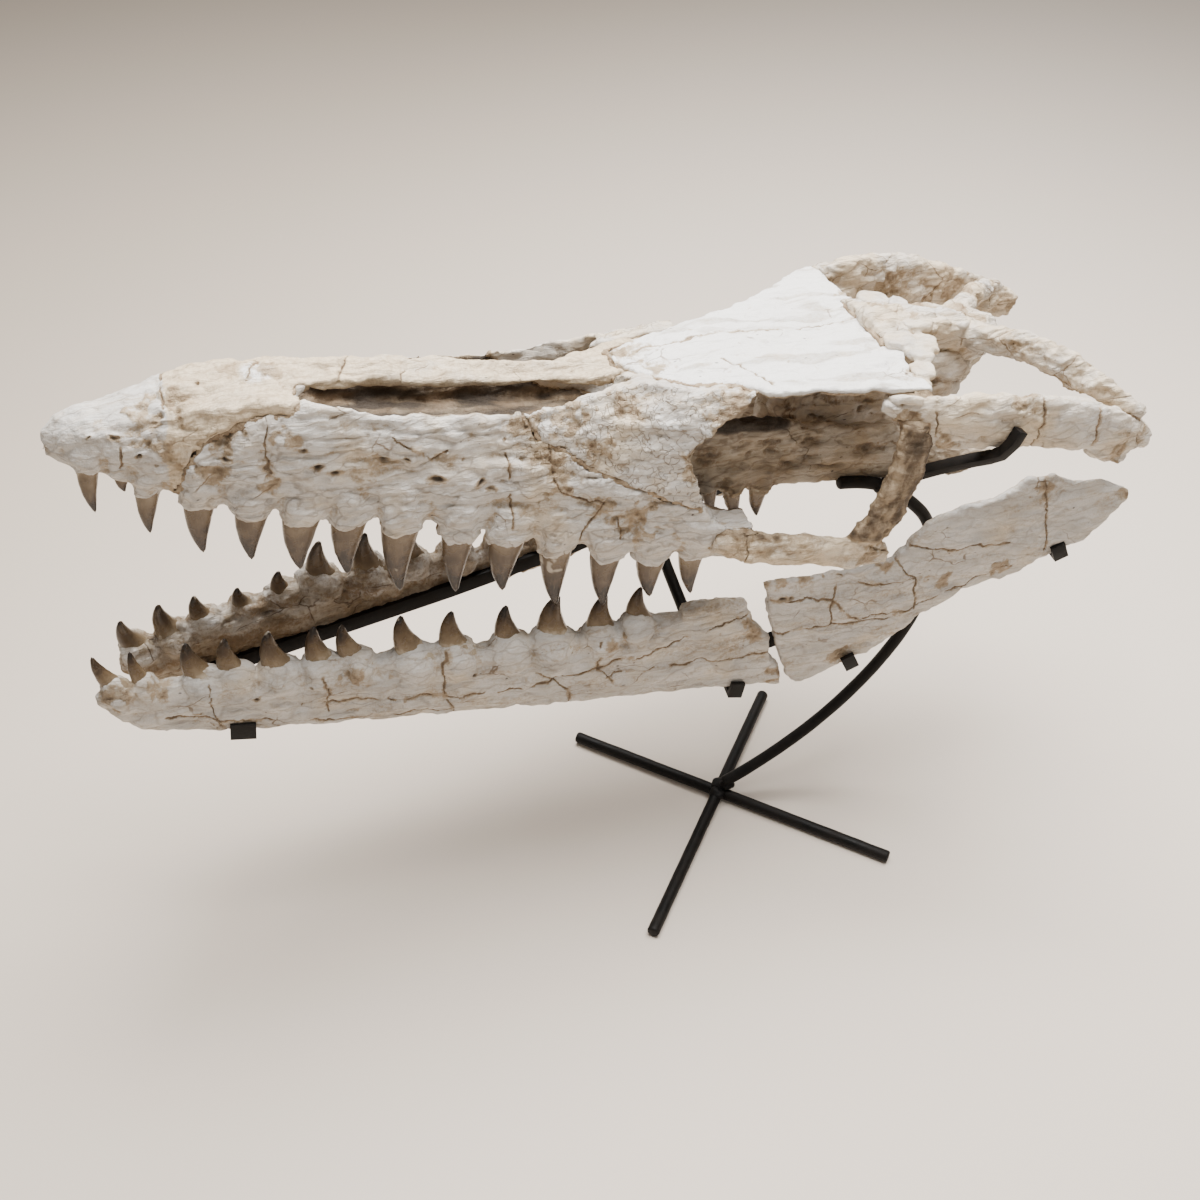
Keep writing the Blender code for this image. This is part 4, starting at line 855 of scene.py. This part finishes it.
def make_teeth(node):
    """All the crowns of one bone: worn enamel, ribbed lengthwise, darker towards the tip."""
    rings = []
    for base, tip, width in TEETH[node]:
        profile = LOWER_CROWN if "dentary" in node else CROWN
        rings.append(crown_rings(base, tip, width, profile, CROWN_SIDES, CROWN_RINGS, CROWN_FLATNESS))
    mesh = plain_mesh(node + "_teeth", lambda bm: [add_rings(bm, ring) for ring in rings])
    seed = 500 + 7 * list(TEETH).index(node)
    points, normals = arrays_of(mesh)
    share = np.tile(np.repeat(np.linspace(CROWN[0][0], 1, CROWN_RINGS), CROWN_SIDES), len(rings))
    own = np.repeat(np.array([lattice(np.array([[i, 1, seed]]), seed)[0] for i in range(len(rings))]),
                    CROWN_RINGS * CROWN_SIDES)
    height = 0.28 * rough_noise(points, 6, seed + 1) + 0.1 * noise(points, (1.3, 1.3, 9), seed + 4)
    chipped = ease(noise(points, 5, seed + 8) * 2.2 - 0.5) * ease((share - 0.8) * 5)
    height -= 0.9 * chipped
    crack = crack_web(points, 17, 0.3, seed + 12) * ease(noise(points, 11, seed + 15) * 2 - 0.3)
    if node == "left_maxilla":
        number = np.repeat(np.arange(len(rings)), CROWN_RINGS * CROWN_SIDES)
        web = ease(1.3 - np.abs(noise(points, 5, 801)) * 6) * ease(1.4 - np.abs(share - 0.74) / 0.1)
        chipped = np.maximum(chipped, (number == CHIPPED_TOOTH) * web)
        vein = ease(1.3 - np.abs(noise(points, 9, 805)) * 9) * ease(1.5 - np.abs(share - 0.3) / 0.12)
        chipped = np.maximum(chipped, (number == VEINED_TOOTH) * vein)
    height -= 0.15 * crack
    points = points + normals * height[:, None] * ease(1.3 - share)[:, None]
    mesh.vertices.foreach_set("co", points.ravel())
    # painted shade: the upper teeth's colour is shifted darker along the crown
    upper = 0.0 if "dentary" in node else 0.14
    stain = share + 0.08 * rough_noise(points, 8, seed + 18) + 0.10 * (own - 0.5) + upper * ease(share * 4)
    write_marks(mesh, stain, chipped, 0.6 * crack, own)
    mesh.transform(local_matrix(BONES[node][1]))
    show(node + "_teeth", mesh, MATERIALS["tooth"])


class Tree:
    """A material under construction."""

    def __init__(self, name):
        self.material = bpy.data.materials.new(name)
        self.material.use_nodes = True
        self.tree = self.material.node_tree
        self.shader = self.tree.nodes["Principled BSDF"]

    def add(self, kind, inputs=(), **settings):
        """A node with its settings, whose inputs are values or other nodes' sockets, by name or number."""
        node = self.tree.nodes.new("ShaderNode" + kind)
        for key, value in settings.items():
            setattr(node, key, value)
        for key, value in dict(inputs).items():
            self.feed(node.inputs[key], value)
        return node

    def feed(self, socket, value):
        if isinstance(value, bpy.types.NodeSocket):
            self.tree.links.new(value, socket)
        else:
            socket.default_value = value

    def noise(self, where, scale, detail=3, roughness=0.55, distortion=0.0):
        inputs = {"Vector": where, "Scale": scale, "Detail": detail, "Roughness": roughness}
        return self.add("TexNoise", {**inputs, "Distortion": distortion}).outputs["Fac"]

    def stretched(self, where, scale):
        return self.add("Mapping", {"Vector": where, "Scale": scale}).outputs["Vector"]

    def span(self, value, low, high, to_low=0.0, to_high=1.0):
        """value from low to high, spread smoothly over to_low to to_high."""
        return self.add("MapRange", {0: value, 1: low, 2: high, 3: to_low, 4: to_high},
                        interpolation_type="SMOOTHSTEP").outputs[0]

    def maths(self, operation, first, second=0.0):
        return self.add("Math", {0: first, 1: second}, operation=operation).outputs[0]

    def blend(self, share, first, second, kind="MIX"):
        node = self.add("Mix", data_type="RGBA", blend_type=kind)
        self.feed(node.inputs[0], share)
        self.feed(node.inputs[6], first)
        self.feed(node.inputs[7], second)
        return node.outputs[2]

    def total(self, parts):
        """The sum of values, each times its own factor."""
        value = 0.0
        for part, factor in parts:
            value = self.maths("ADD", self.maths("MULTIPLY", part, factor), value)
        return value

    def cells(self, where, feature):
        return self.add("TexVoronoi", {"Vector": where, "Scale": 1.0}, feature=feature)

    def bent(self, where, scale, reach):
        """where, pushed about by up to reach."""
        push = self.add("TexNoise", {"Vector": where, "Scale": scale, "Detail": 3}).outputs["Color"]
        push = self.add("VectorMath", {0: push, 1: (0.5, 0.5, 0.5)}, operation="SUBTRACT").outputs["Vector"]
        push = self.add("VectorMath", {0: push, "Scale": reach}, operation="SCALE").outputs["Vector"]
        return self.add("VectorMath", {0: where, 1: push}, operation="ADD").outputs["Vector"]

    def wear(self):
        """How flaky, cracked and worm-lined the bone is there."""
        colours = self.add("Attribute", attribute_name="wear").outputs["Color"]
        return self.add("SeparateColor", {"Color": colours}).outputs[:3]

    def marks(self):
        """The shares that the mesh carries: stain, light, dark and tone."""
        colours = self.add("Attribute", attribute_name="marks").outputs["Color"]
        parts = self.add("SeparateColor", {"Color": colours}).outputs
        tone = self.add("Attribute", attribute_name="tone").outputs["Fac"]
        return parts[0], parts[1], parts[2], tone


def rgb(red, green, blue):
    """A colour from screen values of 0 to 255."""
    return (*[(v / 255 / 12.92 if v / 255 <= 0.04045 else ((v / 255 + 0.055) / 1.055) ** 2.4)
              for v in (red, green, blue)], 1)


def bone_material(name, pale, cream, tan, brown, deep):
    """Fossil bone: flaky plates and fibres, mottled pale to cream, with matrix in cracks, and painted shade
    as dark pits and on low slivers.
    """
    t = Tree(name)
    stain, light, dark, tone = t.marks()
    rough, cracked, wormy = t.wear()
    where = t.add("TexCoord").outputs["Object"]
    bent = t.bent(where, 75, 0.007)
    streaks = t.noise(t.stretched(bent, (55, 380, 380)), 1.0, 4)
    fibres = t.noise(t.stretched(bent, (130, 1100, 1100)), 1.0, 3)
    blotch = t.noise(where, 26, 4, 0.6)
    grit = t.noise(where, 900, 2)
    crumbs = t.noise(where, 330, 4, 0.7)
    sparse = t.noise(where, 34, 2)
    plates = t.cells(t.stretched(bent, (19, 85, 85)), "F1").outputs["Color"]
    plates = t.add("SeparateColor", {"Color": plates}).outputs[0]
    slivers = t.cells(t.stretched(bent, (42, 210, 210)), "F1").outputs["Color"]
    slivers = t.add("SeparateColor", {"Color": slivers}).outputs[0]
    rim = t.cells(t.stretched(bent, (19, 85, 85)), "DISTANCE_TO_EDGE").outputs["Distance"]
    rim = t.span(rim, 0.0, 0.06, 1.0, 0.0)
    wide = t.cells(t.stretched(bent, (20, 36, 36)), "DISTANCE_TO_EDGE").outputs["Distance"]
    crack = t.span(wide, 0.004, 0.018, 1.0, 0.0)
    where_cracked = t.span(t.total([(cracked, 0.22), (sparse, 1.0)]), 0.6, 0.74)
    crack = t.maths("MULTIPLY", crack, where_cracked)
    worm = t.maths("ABSOLUTE", t.maths("SUBTRACT", t.noise(where, 150, 1.2, 0.5, 0.6), 0.5))
    worm = t.maths("MULTIPLY", t.span(worm, 0.008, 0.03, 1.0, 0.0), wormy)
    # painted shade: small dark pits drawn in colour only
    pit_shade = t.cells(t.stretched(bent, (70, 150, 150)), "F1").outputs["Distance"]
    pit_shade = t.maths("MULTIPLY", t.span(pit_shade, 0.05, 0.11, 1.0, 0.0), t.span(sparse, 0.42, 0.6))

    mottled = t.maths("ADD", tone, t.span(blotch, 0.35, 0.75, -0.2, 0.35))
    colour = t.blend(t.span(mottled, 0.0, 1.0), pale, cream)
    colour = t.blend(t.span(streaks, 0.5, 0.72, 0.0, 0.42), colour, tan)
    colour = t.blend(t.span(fibres, 0.55, 0.75, 0.0, 0.35), colour, tan)
    colour = t.blend(t.maths("MULTIPLY", rim, t.maths("MULTIPLY", rough, 0.42)), colour, brown)
    # painted shade: a tan darkening on the low slivers, which sit lowest in the bump
    colour = t.blend(t.maths("MULTIPLY", t.span(slivers, 0.0, 0.5, 0.22, 0.0), rough), colour, tan)
    # the light share: bleached bone and painted highlight
    colour = t.blend(t.span(light, 0.1, 0.9, 0.0, 0.85), colour, rgb(246, 244, 241))
    broken = t.maths("ADD", stain, t.span(crumbs, 0.3, 0.7, -0.16, 0.16))
    colour = t.blend(t.span(broken, 0.12, 0.55, 0.0, 0.9), colour, tan)
    colour = t.blend(t.span(broken, 0.55, 1.0, 0.0, 0.8), colour, brown)
    colour = t.blend(t.maths("MULTIPLY", worm, 0.55), colour, brown)
    colour = t.blend(t.maths("MULTIPLY", crack, 0.8), colour, brown)
    colour = t.blend(t.maths("MULTIPLY", pit_shade, 0.75), colour, deep)
    # the dark share: dark marks and painted shade
    colour = t.blend(t.span(dark, 0.15, 0.9, 0.0, 0.94), colour, deep)
    colour = t.blend(t.span(grit, 0.3, 0.7, 0.0, 0.12), colour, rgb(120, 110, 98))
    t.feed(t.shader.inputs["Base Color"], colour)
    t.feed(t.shader.inputs["Roughness"], t.span(streaks, 0.3, 0.7, 0.5, 0.75))
    t.shader.inputs["Specular IOR Level"].default_value = 0.35

    layers = [(plates, 1.0), (slivers, 0.55), (streaks, 1.3)]
    relief = t.maths("MULTIPLY", t.total(layers), rough)
    relief = t.maths("ADD", relief, t.total([(fibres, 0.22), (grit, 0.06), (crumbs, 0.35), (worm, -0.4)]))
    crumbling = t.maths("MULTIPLY", crumbs, t.span(stain, 0.2, 0.7, 0.0, 1.2))
    relief = t.maths("ADD", relief, crumbling)
    bump = t.add("Bump", {"Strength": 1.0, "Distance": 1.3 * MM, "Height": relief})
    t.feed(t.shader.inputs["Normal"], bump.outputs["Normal"])
    return t.material


def tooth_material(name):
    """Enamel that runs from grey brown at the gum to nearly black at the tip."""
    t = Tree(name)
    along_crown, chips, cracks, _ = t.marks()
    where = t.add("TexCoord").outputs["Object"]
    ribs = t.noise(t.stretched(where, (700, 700, 110)), 1.0, 3)
    cloud = t.noise(where, 90, 3)
    place = t.maths("ADD", along_crown, t.span(cloud, 0.3, 0.7, -0.14, 0.14))
    ramp = t.add("ValToRGB", {"Fac": place})
    stops = [(0.0, rgb(178, 164, 142)), (0.13, rgb(138, 120, 96)), (0.42, rgb(106, 88, 66)),
             (0.72, rgb(76, 60, 44)), (0.93, rgb(40, 31, 24))]
    ramp.color_ramp.elements[0].position = stops[0][0]
    ramp.color_ramp.elements[0].color = stops[0][1]
    ramp.color_ramp.elements[1].position = stops[-1][0]
    ramp.color_ramp.elements[1].color = stops[-1][1]
    for position, colour in stops[1:-1]:
        ramp.color_ramp.elements.new(position).color = colour
    colour = t.blend(t.span(ribs, 0.5, 0.75, 0.0, 0.25), ramp.outputs["Color"], rgb(134, 116, 92))
    colour = t.blend(t.span(cracks, 0.1, 0.6, 0.0, 0.8), colour, rgb(46, 36, 28))
    colour = t.blend(t.span(chips, 0.3, 0.8, 0.0, 0.75), colour, rgb(202, 190, 172))
    t.feed(t.shader.inputs["Base Color"], colour)
    t.feed(t.shader.inputs["Roughness"], t.span(cloud, 0.3, 0.7, 0.2, 0.36))
    bump = t.add("Bump", {"Strength": 0.5, "Distance": 0.0005, "Height": ribs})
    t.feed(t.shader.inputs["Normal"], bump.outputs["Normal"])
    return t.material


def iron_material(name):
    """Forged and waxed iron: near black, faintly brown, with a dull sheen."""
    t = Tree(name)
    where = t.add("TexCoord").outputs["Object"]
    patches = t.noise(where, 60, 4, 0.65)
    grain = t.noise(where, 650, 3, 0.6)
    colour = t.blend(t.span(patches, 0.35, 0.7), rgb(11, 10, 9), rgb(26, 22, 19))
    colour = t.blend(t.span(grain, 0.6, 0.8, 0.0, 0.5), colour, rgb(50, 41, 33))
    t.feed(t.shader.inputs["Base Color"], colour)
    t.shader.inputs["Metallic"].default_value = 0.1
    t.shader.inputs["Specular IOR Level"].default_value = 0.2
    t.feed(t.shader.inputs["Roughness"], t.span(patches, 0.3, 0.7, 0.45, 0.65))
    relief = t.maths("ADD", t.maths("MULTIPLY", patches, 0.7), t.maths("MULTIPLY", grain, 0.5))
    bump = t.add("Bump", {"Strength": 0.5, "Distance": 0.0006, "Height": relief})
    t.feed(t.shader.inputs["Normal"], bump.outputs["Normal"])
    return t.material


def make_materials():
    return {
        "weathered_bone": bone_material("weathered_bone", rgb(214, 210, 204), rgb(222, 203, 174),
                                        rgb(174, 152, 123), rgb(122, 99, 74), rgb(44, 36, 29)),
        "stained_bone": bone_material("stained_bone", rgb(198, 186, 168), rgb(176, 156, 129),
                                      rgb(142, 119, 92), rgb(94, 74, 54), rgb(36, 29, 23)),
        "tooth": tooth_material("tooth"),
        "waxed_iron": iron_material("waxed_iron"),
    }


def rod_mesh(name, route, radius, count):
    """A round rod with softened ends along a smooth route."""
    points = np.array(route, float)
    travel = np.concatenate([[0], np.cumsum(np.linalg.norm(np.diff(points, axis=0), axis=1))])
    read = along([(t, *row) for t, row in zip(travel, points)])
    length = travel[-1]
    places = [0, radius * 0.08, radius * 0.3, *np.linspace(radius, length - radius, count),
              length - radius * 0.3, length - radius * 0.08, length]
    rings = []
    for place in places:
        ahead = read(min(place + length * 0.01, length))
        behind = read(max(place - length * 0.01, 0))
        tangent = Vector(ahead - behind).normalized()
        wide = tangent.cross(Vector((0.3, 1, 0.2))).normalized()
        tall = tangent.cross(wide)
        rounding = min(place, length - place) / radius
        reach = radius * (0.82 + 0.18 * math.sqrt(min(rounding * 4, 1)))
        centre = Vector(read(place))
        rings.append([centre + (wide * math.cos(a) + tall * math.sin(a)) * reach
                      for a in np.linspace(0, 2 * math.pi, ROD_SIDES, endpoint=False)])
    mesh = plain_mesh(name, lambda bm: add_rings(bm, rings))
    points, normals = arrays_of(mesh)
    dents = 0.11 * noise(points / MM, 9, 77) + 0.05 * noise(points / MM, 3, 78)
    mesh.vertices.foreach_set("co", (points + normals * dents[:, None] * MM - normals * 0.1 * MM).ravel())
    return mesh


def make_stand():
    iron = MATERIALS["waxed_iron"]
    middle = (0.0, 0.0, ROD_RADIUS)
    rods = {
        "foot_rod_long": (FOOT_LONG, ROD_RADIUS, 60),
        "foot_rod_rear": ((FOOT_CROSS[0], middle), ROD_RADIUS, 34),
        "foot_rod_front": ((FOOT_CROSS[1], middle), ROD_RADIUS, 34),
        "post": (POST_ROUTE, ROD_RADIUS, 110),
        "cross_strut": (CROSS_STRUT, 0.0048, 30),
        "post_link": (POST_LINK, 0.004, 10),
    }
    for node, (route, radius, count) in rods.items():
        show(node + "_iron", rod_mesh(node, route, radius, count), iron, (node,))
    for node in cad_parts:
        if "jaw_bar" in node or "clip" in node or node == "skull_arm":
            make_forged(node, iron)
    make_welds(iron)


def make_forged(node, iron):
    """A flat bar or clip from its own solid, with its edges broken."""
    matrix = Matrix.Scale(MM, 4)
    item = new_object(node + "_work", cad_copy(node, matrix))
    bevel = item.modifiers.new("edges", "BEVEL")
    bevel.width = 0.45
    bevel.segments = 2
    bevel.limit_method = "ANGLE"
    bevel.angle_limit = math.radians(40)
    mesh = shaped(item)
    mesh.transform(matrix)
    piece = show(node + "_iron", mesh, iron, (node,))
    piece.data.shade_flat()
    piece.data.set_sharp_from_angle(angle=math.radians(30))


def make_welds(iron):
    """Lumpy beads where rods and bars are welded."""

    def build(bm):
        for (x, y, z), size in WELDS:
            bmesh.ops.create_icosphere(bm, subdivisions=3, radius=size,
                                       matrix=Matrix.Translation((x, y, z)) @ Matrix.Diagonal((1, 1, 0.7, 1)))

    mesh = plain_mesh("welds", build)
    points, normals = arrays_of(mesh)
    height = 0.9 * rough_noise(points / MM, 4, 91)
    moved = points + normals * height[:, None] * MM
    moved[:, 2] = np.maximum(moved[:, 2], 0.0006)
    mesh.vertices.foreach_set("co", moved.ravel())
    show("welds", mesh, iron)


def make_studio():
    """Camera at the photograph's place, a pale floor and soft light from above."""
    camera = bpy.data.objects.new("camera", bpy.data.cameras.new("camera"))
    camera.data.lens = LENS
    camera.data.sensor_width = SENSOR
    camera.location = CAMERA_AT
    camera.rotation_euler = (math.pi / 2 - CAMERA_DOWN, 0, CAMERA_YAW)
    camera.data.clip_start = 0.01
    bpy.context.scene.collection.objects.link(camera)
    bpy.context.scene.camera = camera

    def build(bm):
        bmesh.ops.create_grid(bm, x_segments=1, y_segments=1, size=FLOOR_REACH)

    floor = new_object("floor", plain_mesh("floor", build))
    t = Tree("floor_paint")
    place = t.add("SeparateXYZ", {"Vector": t.add("TexCoord").outputs["Object"]}).outputs
    # painted shade: the floor darkens towards the back and left
    left = t.maths("SUBTRACT", t.maths("MULTIPLY", place[1], 0.8), place[0])
    shaded_floor_colour = t.blend(t.span(left, -0.2, 1.5), rgb(220, 208, 195), rgb(196, 183, 168))
    t.feed(t.shader.inputs["Base Color"], shaded_floor_colour)
    t.shader.inputs["Roughness"].default_value = 0.85
    t.shader.inputs["Specular IOR Level"].default_value = 0.2
    floor.data.materials.append(t.material)
    floor.location.z = -FLOOR_DROP

    world = bpy.data.worlds.new("studio")
    bpy.context.scene.world = world
    world.use_nodes = True
    background = world.node_tree.nodes["Background"]
    background.inputs["Color"].default_value = rgb(*DAYLIGHT_COLOUR)
    background.inputs["Strength"].default_value = DAYLIGHT
    for name, (place, size, power) in LAMPS.items():
        lamp = bpy.data.objects.new(name, bpy.data.lights.new(name, "AREA"))
        lamp.data.size = size
        lamp.data.energy = power
        lamp.data.color = LAMP_COLOUR
        lamp.location = place
        lamp.rotation_euler = (Vector(LAMP_AIM) - Vector(place)).to_track_quat("-Z", "Y").to_euler()
        bpy.context.scene.collection.objects.link(lamp)


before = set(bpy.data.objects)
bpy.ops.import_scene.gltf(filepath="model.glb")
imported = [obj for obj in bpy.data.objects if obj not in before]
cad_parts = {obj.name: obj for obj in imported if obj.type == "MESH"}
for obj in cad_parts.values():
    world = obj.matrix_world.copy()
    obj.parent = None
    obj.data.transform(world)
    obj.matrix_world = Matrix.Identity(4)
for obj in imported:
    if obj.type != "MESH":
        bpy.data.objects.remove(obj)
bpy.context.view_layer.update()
MATERIALS = make_materials()
make_studio()
for bone in BONES:
    make_bone(bone)
make_seam_fill()
make_rubble()
for bone in TEETH:
    make_teeth(bone)
make_stand()
